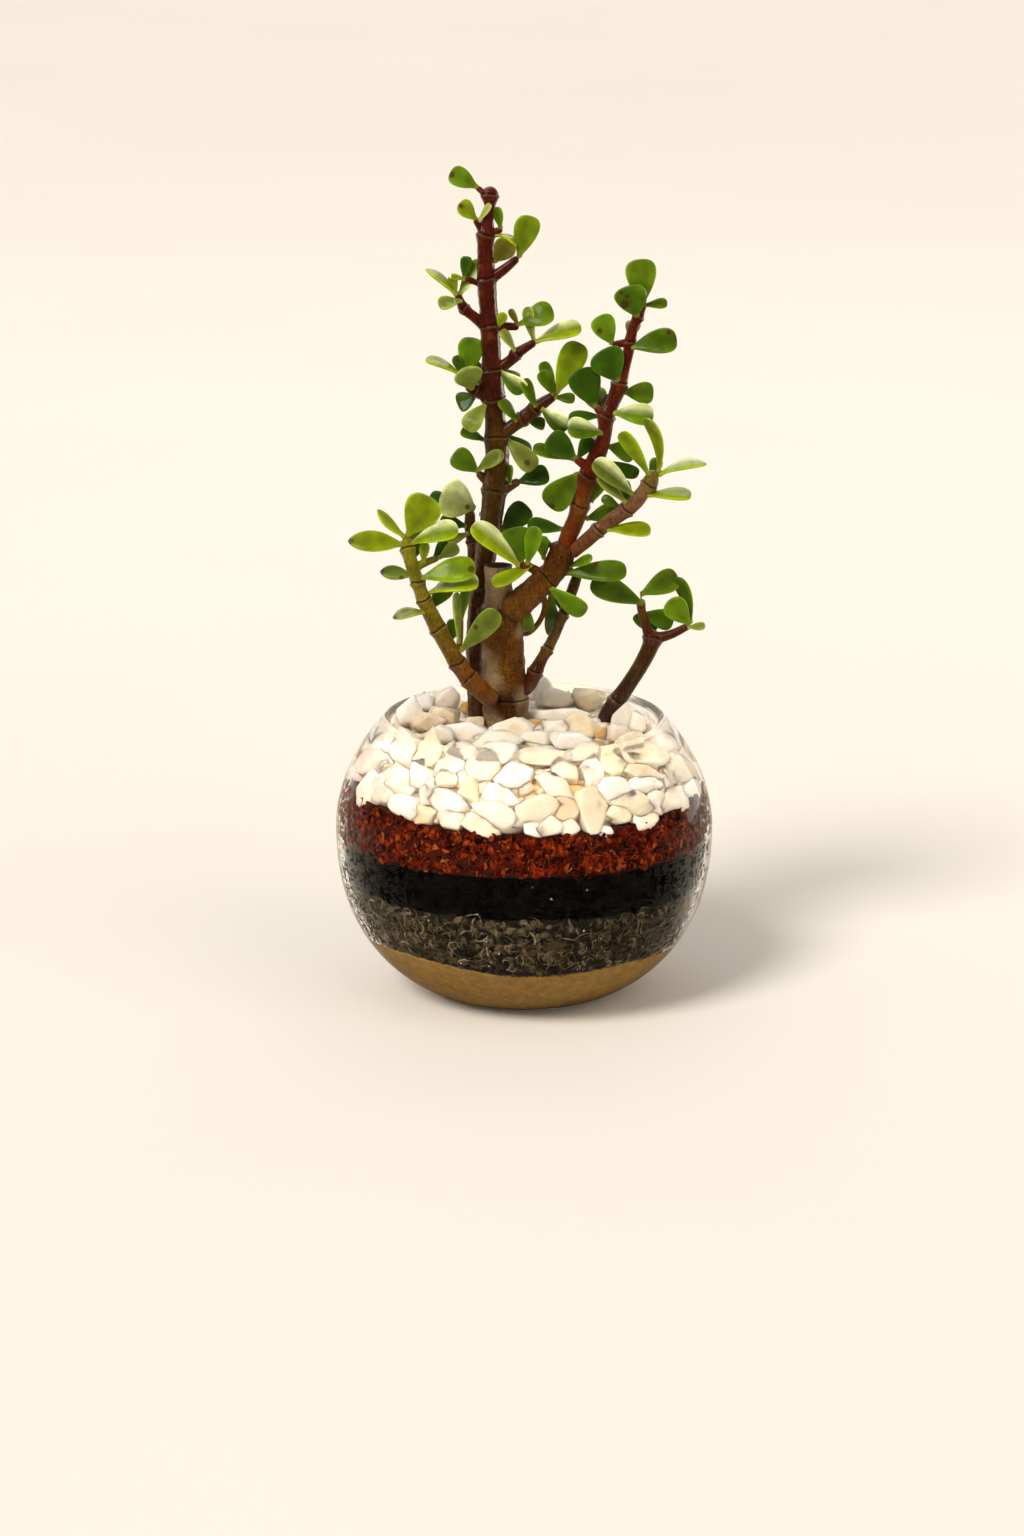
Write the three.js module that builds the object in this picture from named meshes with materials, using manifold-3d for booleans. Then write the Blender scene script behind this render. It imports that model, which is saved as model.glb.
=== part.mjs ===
import * as THREE from 'three';
import { mergeVertices } from 'three/addons/utils/BufferGeometryUtils.js';
import Module from 'manifold-3d';

const wasm = await Module();
wasm.setup();

// A potted jade plant: woody and leafy stems standing in a round glass bowl that is
// filled with sand, grey gravel, charcoal, red bark and pale quartz pebbles.
// Millimetres, +Z up, origin at the centre of the bowl's foot. The front faces -Y.

// Driving dimensions of the bowl
const BOWL_RADIUS = 62;
const BOWL_HEIGHT = 93;
const BELLY_HEIGHT = 57;
const FOOT_RADIUS = 25.5;
const MOUTH_RADIUS = 45.7;
const WALL = 2.2;
const BASE_THICKNESS = 3.5;
const LIP_RADIUS = 1.5;
const LOWER_ROUNDNESS = 2.35;
const UPPER_ROUNDNESS = 1.85;

// Driving dimensions of the filling
const SAND_TOP = 21.2;
const GRAVEL_TOP = 39.9;
const CHARCOAL_TOP = 55.1;
const BARK_TOP = 70;
const PEBBLE_TOP = 86.4;
const HEAP_TOP = 93;
const GAP = 0.3;
const WALL_CLEARANCE = 0.6;

// Driving dimensions of the plant
const STALK_WIDTH = 1.7;
const ROOT_DEPTH = 1.3;
const NODE_SWELL = 0.4;

const AROUND = 32;

// The plant's stems and leaves are listed as they are seen from the front: how far right
// and up on a sheet through the foot of the bowl that faces the eye, and how far back
// from the bowl's axis. The eye looks down a little on the plant.
const SIGHT_TILT = THREE.MathUtils.degToRad(15.4);
const SIGHT_DISTANCE = 1450;
const SIGHT_RIGHT = -4;
const SIGHT_UP = 72.67;
const sheetUp = new THREE.Vector3(0, Math.sin(SIGHT_TILT), Math.cos(SIGHT_TILT));
const towardEye = new THREE.Vector3(0, -Math.cos(SIGHT_TILT), Math.sin(SIGHT_TILT));
const eye = new THREE.Vector3(SIGHT_RIGHT, 0, 0)
  .addScaledVector(sheetUp, SIGHT_UP)
  .addScaledVector(towardEye, SIGHT_DISTANCE);

function place(right, up, back) {
  const mark = new THREE.Vector3(right, 0, 0).addScaledVector(sheetUp, up);
  const share = (back - eye.y) / (mark.y - eye.y);
  return eye.clone().lerp(mark, share);
}

// Solids from closed geometries, joined and cut
function solidOf(geometry) {
  geometry.deleteAttribute('normal');
  geometry.deleteAttribute('uv');
  const merged = mergeVertices(geometry, 1e-4);
  const corners = merged.index.array;
  const kept = [];
  for (let i = 0; i < corners.length; i += 3) {
    const [a, b, c] = [corners[i], corners[i + 1], corners[i + 2]];
    if (a !== b && b !== c && c !== a) kept.push(a, b, c);
  }
  return new wasm.Manifold(new wasm.Mesh({
    numProp: 3,
    vertProperties: new Float32Array(merged.attributes.position.array),
    triVerts: new Uint32Array(kept),
  }));
}

function largestBody(solid) {
  const bodies = solid.decompose();
  return bodies.reduce((best, body) => (body.volume() > best.volume() ? body : best));
}

function joined(solids) {
  return solids.reduce((sum, solid) => sum.add(solid));
}

function meshOf(name, solid, look) {
  const { vertProperties, triVerts } = largestBody(solid).getMesh();
  const geometry = new THREE.BufferGeometry();
  geometry.setAttribute('position', new THREE.BufferAttribute(vertProperties, 3));
  geometry.setIndex(new THREE.BufferAttribute(triVerts, 1));
  geometry.computeVertexNormals();
  const mesh = new THREE.Mesh(geometry, new THREE.MeshStandardMaterial(look));
  mesh.name = name;
  return mesh;
}

// Bowl outline: a superellipse below the belly and a rounder one above it
function superellipse(height, reach, roundness) {
  return BOWL_RADIUS * (1 - Math.abs(height / reach) ** roundness) ** (1 / roundness);
}

function reachOf(endHeight, endRadius, roundness) {
  return endHeight / (1 - (endRadius / BOWL_RADIUS) ** roundness) ** (1 / roundness);
}

const lowerReach = reachOf(BELLY_HEIGHT, FOOT_RADIUS, LOWER_ROUNDNESS);
const upperReach = reachOf(BOWL_HEIGHT - BELLY_HEIGHT, MOUTH_RADIUS, UPPER_ROUNDNESS);

function outerRadius(z) {
  return z < BELLY_HEIGHT
    ? superellipse(BELLY_HEIGHT - z, lowerReach, LOWER_ROUNDNESS)
    : superellipse(z - BELLY_HEIGHT, upperReach, UPPER_ROUNDNESS);
}

function radiusInside(z, depth) {
  const step = 0.2;
  const slope = (outerRadius(z + step) - outerRadius(z)) / step;
  return outerRadius(z) - depth * Math.hypot(1, slope);
}

function glassBowl() {
  const lowerSteps = 9;
  const upperSteps = 5;
  const innerSteps = 10;
  const lipSteps = 5;
  const lipTurn = THREE.MathUtils.degToRad(240);
  const footCrowding = 1.8;
  const floorCrowding = 1.3;
  const wallEnd = BOWL_HEIGHT - 2 * LIP_RADIUS;
  const lipCentre = [MOUTH_RADIUS - 0.5, BOWL_HEIGHT - LIP_RADIUS];
  const outline = [[0, 0]];
  for (let i = 0; i <= lowerSteps; i += 1) {
    const z = BELLY_HEIGHT * (i / lowerSteps) ** footCrowding;
    outline.push([outerRadius(z), z]);
  }
  for (let i = 1; i <= upperSteps; i += 1) {
    const z = THREE.MathUtils.lerp(BELLY_HEIGHT, wallEnd, i / upperSteps);
    outline.push([outerRadius(z), z]);
  }
  for (let i = 0; i <= lipSteps; i += 1) {
    const turn = lipTurn * (i / lipSteps);
    outline.push([
      lipCentre[0] + LIP_RADIUS * Math.cos(turn),
      lipCentre[1] + LIP_RADIUS * Math.sin(turn),
    ]);
  }
  for (let i = innerSteps; i >= 0; i -= 1) {
    const share = (i / innerSteps) ** floorCrowding;
    const z = THREE.MathUtils.lerp(BASE_THICKNESS, wallEnd - LIP_RADIUS, share);
    outline.push([radiusInside(z, WALL), z]);
  }
  outline.push([0, BASE_THICKNESS]);
  const points = outline.map(([r, z]) => new THREE.Vector2(r, z));
  const lathe = new THREE.LatheGeometry(points, AROUND);
  lathe.rotateX(Math.PI / 2);
  return solidOf(lathe);
}

// The filling keeps clear of the wall and, near the mouth, of the lip
const BESIDE_LIP = MOUTH_RADIUS - 2.4;
const LIP_DEPTH = 4;
const LIP_SLOPE = 1.6;

function fillRadius(z, inset = 0) {
  const besideWall = radiusInside(z, WALL + WALL_CLEARANCE);
  const belowLip = LIP_SLOPE * Math.max(0, BOWL_HEIGHT - LIP_DEPTH - z);
  return Math.min(besideWall, BESIDE_LIP + belowLip) - inset;
}

// One filling layer between two wavy faces, given as heights over turn and share of radius
const MIDDLE_RING = 0.7;

function layer(bottom, top, { sideSteps = 3, inset = 0, around = AROUND } = {}) {
  const faceShares = [0, MIDDLE_RING];
  const rings = faceShares.map((share) => ({ share, level: 0 }));
  for (let i = 0; i <= sideSteps; i += 1) rings.push({ share: 1, level: i / sideSteps });
  [...faceShares].reverse().forEach((share) => rings.push({ share, level: 1 }));
  const lathe = new THREE.LatheGeometry(
    rings.map((ring, i) => new THREE.Vector2(ring.share, i)), around);
  const position = lathe.attributes.position;
  for (let i = 0; i < position.count; i += 1) {
    const ring = rings[Math.round(position.getY(i))];
    const turn = Math.PI * 2 * (Math.floor(i / rings.length) % around) / around;
    const low = bottom(turn, ring.share);
    const high = top(turn, ring.share);
    const z = THREE.MathUtils.lerp(low, high, ring.level);
    const edgeZ = THREE.MathUtils.lerp(bottom(turn, 1), top(turn, 1), ring.level);
    const r = ring.share * fillRadius(edgeZ, inset);
    position.setXYZ(i, r * Math.cos(turn), r * Math.sin(turn), z);
  }
  return outward(solidOf(lathe), lathe);
}

// A lathe whose turn runs the other way round comes out inside out and is flipped
function outward(solid, geometry) {
  if (solid.volume() > 0) return solid;
  const corners = geometry.index.array;
  for (let i = 0; i < corners.length; i += 3) {
    [corners[i], corners[i + 1]] = [corners[i + 1], corners[i]];
  }
  return solidOf(geometry);
}

const { cos, sin } = Math;
const bowlFloor = () => BASE_THICKNESS + GAP;
const sandFace = (turn, share) => SAND_TOP - share * (1.5 * cos(turn) + 1.2 * cos(4 * turn));
const gravelFace = (turn, share) => GRAVEL_TOP - share * (0.5 * cos(turn) + 1.2 * sin(turn));
const charcoalFace = (turn, share) => CHARCOAL_TOP + share * 0.4 * sin(3 * turn);
const barkFace = (turn, share) => BARK_TOP + share * (1.5 * cos(2 * turn) - 0.6 * cos(turn));
const above = (face) => (turn, share) => face(turn, share) + GAP;

// Seeded draws, the same on every run
function drawer(seed) {
  let state = seed;
  return () => {
    state = (state * 1664525 + 1013904223) % 4294967296;
    return state / 4294967296;
  };
}

// A pebble is a chip of eight flat faces with a six-cornered outline, given by its width,
// height and depth as vectors. One of the faces lies square to its depth.
const CHIP_RADIUS = 0.66;
const CHIP_DEEPENING = 1.3;

function pebble(centre, width, height, depth) {
  const chip = new THREE.OctahedronGeometry(CHIP_RADIUS, 0);
  chip.applyQuaternion(new THREE.Quaternion().setFromUnitVectors(
    new THREE.Vector3(1, 1, 1).normalize(), new THREE.Vector3(0, 0, 1)));
  chip.scale(1, 1, CHIP_DEEPENING);
  chip.applyMatrix4(new THREE.Matrix4().makeBasis(width, height, depth).setPosition(centre));
  return outward(solidOf(chip), chip);
}

// The point that is seen at (right, up) and lies `inset` inside the inner wall
function onWall(right, up, inset) {
  let near = -BOWL_RADIUS;
  let far = 0;
  for (let i = 0; i < 30; i += 1) {
    const middle = (near + far) / 2;
    const point = place(right, up, middle);
    const outside = Math.hypot(point.x, point.y) > radiusInside(point.z, WALL + inset);
    if (outside) near = middle;
    else far = middle;
  }
  return place(right, up, far);
}

// The direction square to the wall beside a point, outward
function wallNormal({ x, y, z }) {
  const step = 0.2;
  const slope = (outerRadius(z + step) - outerRadius(z)) / step;
  const r = Math.hypot(x, y);
  return new THREE.Vector3(x / r, y / r, -slope).normalize();
}

// A vector laid along the wall so that it is still seen as it was
function laidOnWall(vector, normal) {
  const facing = Math.max(0.5, normal.dot(towardEye));
  return vector.clone().addScaledVector(towardEye, -vector.dot(normal) / facing);
}

// Pebbles seen through the front of the glass: right, up, width, height, tilt in degrees
const frontPebbles = [
  [-49.5, 74, 12, 8, 10], [-52, 79.5, 9, 7, 40], [-50, 64, 8, 12, -15],
  [-46, 64.5, 6, 10, 10], [-45.5, 81, 8, 11, 0], [-39, 79.5, 8, 11, 0],
  [-38.5, 67.5, 9, 9, 0], [-38, 58.5, 11, 9, 0], [-33.5, 70, 8, 9, 20],
  [-31, 77, 8, 9, 0], [-30.5, 64.5, 7, 8, 0], [-33, 56.5, 8, 8, 0],
  [-24.5, 74, 8, 11, -10], [-24.5, 61, 13, 10, -10], [-23.5, 55, 7, 7, 0],
  [-26, 68.5, 7, 5, 0], [-17.5, 64.5, 7, 9, 0], [-13.2, 73.2, 10, 11, -10],
  [-14.5, 53.2, 11, 7, -15], [-8, 56.5, 15, 7, -32], [-7.5, 63, 11, 7, -20],
  [-3, 69.5, 13, 9, 0], [-9, 77.5, 13, 6, 5], [4.5, 58.5, 16, 9, 5],
  [9.8, 66, 13, 6.5, -38], [8.8, 53, 9, 6, 0], [3.5, 52, 8, 5, -20],
  [15, 52.5, 5, 6, 0], [14, 58.5, 8, 8, 0], [13, 71, 9, 7, 0],
  [22, 58, 10.5, 15.5, 6], [22.5, 70.5, 7.5, 10, 0], [27, 51.3, 5, 4.5, 0],
  [29.5, 65, 12, 7.5, -10], [35.5, 60.5, 13, 6.5, -15], [31, 57, 8, 5, -20],
  [39.5, 54.5, 9.5, 6, 22], [42.5, 61, 6, 9, -15], [48.5, 60.8, 8.5, 11, 0],
  [53.5, 64.8, 7, 7, -20], [40, 67.2, 10, 5, 0], [38.3, 71, 11, 4.5, -15],
  [40.5, 76, 13, 8, 0], [29.3, 74, 7.5, 11, 0], [50.5, 70.5, 11, 8, -30],
  [46.5, 81.5, 9, 8, -30], [52.5, 77, 9, 8, -40], [35.5, 81.5, 8, 6, 0],
  [20, 77.8, 9, 5, 0], [6, 76.5, 15, 5.5, 0], [-20.5, 78.5, 8, 5, 0],
];

// Pebbles seen through the mouth: right, up, back, width, height, tilt in degrees
const topPebbles = [
  [-38, 91, 12, 8, 9, 0], [-33, 87.5, 1, 9, 6, 0], [-27, 89, 5, 10, 8, 0],
  [-34, 95, 25, 8, 6, 0], [-25.5, 95.5, 26, 9, 7, 0], [-18.2, 92.8, 21, 6, 4.5, 0],
  [-20, 84, -7, 16, 7, 0], [-17, 87.5, 3, 7, 4, 0], [-5, 84.5, -6, 17, 8, 5],
  [4.5, 82.3, -16, 10, 5, -10], [9.5, 85, -4, 12, 7, 10], [18.5, 85.5, -2, 15, 8, 0],
  [3.5, 87.5, 5, 5, 3, 0], [12, 89.8, 11, 18, 5, 5], [10.5, 95.5, 25, 12, 7, 0],
  [21.5, 96, 25, 11, 6.5, 0], [6.5, 98.5, 34, 8, 7, 0], [26.5, 84, -8, 6, 4, 0],
  [33, 88.5, 9, 8, 9, 0], [38, 87.5, 1, 6, 7, 0], [-8, 81.5, -26, 14, 7, 0],
  [-28, 84, -14, 9, 6, 0], [31, 84, -9, 8, 6, 0], [16, 81.5, -22, 12, 6, 0],
];

// How far a stone's middle lies inside the wall that the stone leans against
const wallInset = (depth) => WALL_CLEARANCE + 0.7 * depth;
const FRONT_DEPTH_SHARE = 0.9;
const DEEPEST_TOP_PEBBLE = 9;
const CORE_INSET = 4;
const CORE_SIDES = 12;

// The far side has rings of stones against the wall: height of the ring, and its stones
const farRings = [[76, 12], [84, 10]];
const FAR_ARC = [0.03, 0.97];
const FAR_TILT = 70;

function tilted(across, along, degrees) {
  const turn = THREE.MathUtils.degToRad(degrees);
  return [
    across.clone().multiplyScalar(cos(turn)).addScaledVector(along, sin(turn)),
    along.clone().multiplyScalar(cos(turn)).addScaledVector(across, -sin(turn)),
  ];
}

function pebbleBed() {
  const right = new THREE.Vector3(1, 0, 0);
  const stones = [];
  for (const [x, up, width, height, tilt] of frontPebbles) {
    const depth = Math.min(width, height) * FRONT_DEPTH_SHARE;
    const centre = onWall(x, up, wallInset(depth));
    const normal = wallNormal(centre);
    const [across, along] = tilted(right, sheetUp, tilt);
    stones.push(pebble(
      centre,
      laidOnWall(across.multiplyScalar(width), normal),
      laidOnWall(along.multiplyScalar(height), normal),
      normal.multiplyScalar(depth)));
  }
  for (const [x, up, back, width, height, tilt] of topPebbles) {
    const depth = towardEye.clone().multiplyScalar(Math.min(width, DEEPEST_TOP_PEBBLE));
    const [across, along] = tilted(right, sheetUp, tilt);
    stones.push(pebble(
      place(x, up, back), across.multiplyScalar(width), along.multiplyScalar(height), depth));
  }
  const draw = drawer(7);
  farRings.forEach(([z, count], row) => {
    for (let i = 0; i < count; i += 1) {
      const turn = Math.PI * THREE.MathUtils.lerp(...FAR_ARC, (i + 0.5 * row) / (count - 1));
      const [width, height, depth] = [10 + 4 * draw(), 8.5 + 3 * draw(), 7 + 2 * draw()];
      const level = z + 2 * (draw() - 0.5);
      const r = radiusInside(level, WALL + wallInset(depth));
      const centre = new THREE.Vector3(r * cos(turn), r * sin(turn), level);
      const normal = wallNormal(centre);
      const around = new THREE.Vector3(-sin(turn), cos(turn), 0);
      const upward = new THREE.Vector3().crossVectors(normal, around);
      const [across, along] = tilted(around, upward, FAR_TILT * (draw() - 0.5));
      stones.push(pebble(
        centre,
        across.multiplyScalar(width),
        along.multiplyScalar(height),
        normal.multiplyScalar(depth)));
    }
  });
  const space = layer(above(barkFace), () => HEAP_TOP, { sideSteps: 3 });
  const core = layer(() => CHARCOAL_TOP, () => PEBBLE_TOP, {
    inset: CORE_INSET, around: CORE_SIDES,
  });
  return joined([core, ...stones]).intersect(space);
}

// A stem runs through its points, each given as right, up, back, radius and, where the
// stem has a swollen node, a 1.
function stem(points, { sides = 6, grow = 0 } = {}) {
  const curve = new THREE.CatmullRomCurve3(points.map(([r, u, b]) => place(r, u, b)));
  curve.curveType = 'centripetal';
  const last = points.length - 1;
  const frames = sweepFrames(curve, points.map((_, i) => i / last));
  const tube = new THREE.CylinderGeometry(1, 1, 1, sides, last);
  const position = tube.attributes.position;
  for (let i = 0; i < position.count; i += 1) {
    const row = Math.round((0.5 - position.getY(i)) * last);
    const { point, side, other, along } = frames[row];
    const [, , , radius, isNode = 0] = points[row];
    const reach = radius + isNode * NODE_SWELL + grow;
    const end = row === 0 ? -grow : row === last ? grow : 0;
    const corner = point.clone()
      .addScaledVector(side, position.getX(i) * reach)
      .addScaledVector(other, position.getZ(i) * reach)
      .addScaledVector(along, end);
    position.setXYZ(i, corner.x, corner.y, corner.z);
  }
  return outward(solidOf(tube), tube);
}

function sweepFrames(curve, stations) {
  let side = new THREE.Vector3(1, 0, 0);
  return stations.map((t) => {
    const along = curve.getTangent(t).normalize();
    side = side.clone().addScaledVector(along, -side.dot(along)).normalize();
    const other = new THREE.Vector3().crossVectors(along, side);
    return { point: curve.getPoint(t), side, other, along };
  });
}

// The nearest place inside a set of stems to a point seen at (right, up)
function nearestOnStems(stems, right, up) {
  let best = { clear: Infinity };
  for (const points of stems) {
    for (let i = 0; i + 1 < points.length; i += 1) {
      const [a, b] = [points[i], points[i + 1]];
      const [dx, dy] = [b[0] - a[0], b[1] - a[1]];
      const raw = ((right - a[0]) * dx + (up - a[1]) * dy) / (dx * dx + dy * dy);
      const t = THREE.MathUtils.clamp(raw, 0, 1 - ROOT_DEPTH / Math.hypot(dx, dy));
      const mix = [0, 1, 2, 3].map((k) => THREE.MathUtils.lerp(a[k], b[k], t));
      const distance = Math.hypot(right - mix[0], up - mix[1]);
      const clear = distance - mix[3];
      if (clear < best.clear) best = { clear, distance, mix };
    }
  }
  return best;
}

// A leaf is given as root right, root up, tip right, tip up, how much nearer its tip is
// than its root, its width, the turn of its upper face from the eye towards its left
// hand as it points, and how far its middle bows towards the upper face as a share of
// its length. It grows from inside the nearest stem on a short stalk. Its sections are
// four-sided: two edges, an upper and a lower ridge.
const LEAF_SECTIONS = [
  // share of the length, share of the width
  [0.25, 0.62], [0.6, 1], [0.92, 0.74],
];
const LEAF_ROWS = LEAF_SECTIONS.length + 2;
const THINNEST_LEAF = 0.9;
const THICKENING = 0.18;
const EDGE_THICKNESS = 0.35;

function leaf(stems, [right, up, tipRight, tipUp, forward, width, turn, bow]) {
  const { distance, mix } = nearestOnStems(stems, right, up);
  const surface = Math.sqrt(Math.max(0, mix[3] ** 2 - distance ** 2));
  const rootBack = mix[2] - Math.sign(forward) * surface;
  const root = place(right, up, rootBack);
  const tip = place(tipRight, tipUp, rootBack - forward);
  const along = tip.clone().sub(root);
  const length = along.length();
  along.normalize();
  const faceOn = towardEye.clone().addScaledVector(along, -towardEye.dot(along)).normalize();
  const leftHand = new THREE.Vector3().crossVectors(faceOn, along);
  const roll = THREE.MathUtils.degToRad(turn);
  const normal = faceOn.multiplyScalar(cos(roll)).addScaledVector(leftHand, sin(roll));
  const across = new THREE.Vector3().crossVectors(normal, along);
  const thickness = THINNEST_LEAF + THICKENING * width;
  const rings = [
    { spine: place(mix[0], mix[1], mix[2]), halfWidth: 0, halfThick: 0 },
    { spine: root, halfWidth: STALK_WIDTH / 2, halfThick: STALK_WIDTH / 2 },
    ...LEAF_SECTIONS.map(([t, share]) => ({
      spine: root.clone().lerp(tip, t).addScaledVector(normal, bow * length * 4 * t * (1 - t)),
      halfWidth: share * width / 2,
      halfThick: THREE.MathUtils.lerp(EDGE_THICKNESS, 1, share) * thickness / 2,
    })),
    { spine: tip, halfWidth: 0, halfThick: 0 },
  ];
  const blade = new THREE.SphereGeometry(1, 4, LEAF_ROWS);
  const position = blade.attributes.position;
  for (let i = 0; i < position.count; i += 1) {
    const latitude = Math.acos(THREE.MathUtils.clamp(position.getY(i), -1, 1));
    const row = Math.round(latitude / Math.PI * LEAF_ROWS);
    const girth = sin(Math.PI * row / LEAF_ROWS) || 1;
    const { spine, halfWidth, halfThick } = rings[row];
    const corner = spine.clone()
      .addScaledVector(across, halfWidth * position.getX(i) / girth)
      .addScaledVector(normal, halfThick * position.getZ(i) / girth);
    position.setXYZ(i, corner.x, corner.y, corner.z);
  }
  return outward(solidOf(blade), blade);
}

function leafyStem({ main, twigs = [], leaves = [], sides = 6 }) {
  const stems = [main, ...twigs];
  return joined([
    stem(main, { sides }),
    ...twigs.map((twig) => stem(twig, { sides: 4 })),
    ...leaves.map((row) => leaf(stems, row)),
  ]);
}

// The short trunk with its cut stub. It goes down through the pebbles into the bark.
const trunk = {
  sides: 12,
  main: [
    [-5.8, 60, 8, 6.4], [-5.9, 74, 8, 8.2], [-6, 86, 8, 7.7], [-6.3, 95.8, 8, 7.5, 1],
    [-6.7, 104, 8, 7.1], [-7.1, 113, 8, 6.9], [-7.5, 120.5, 8, 6.9], [-7.9, 125.6, 8, 7, 1],
    [-8.3, 127.6, 7.4, 4.9], [-8.5, 133.5, 7, 4.4], [-8.6, 140.2, 7, 4.5],
  ],
};

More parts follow.
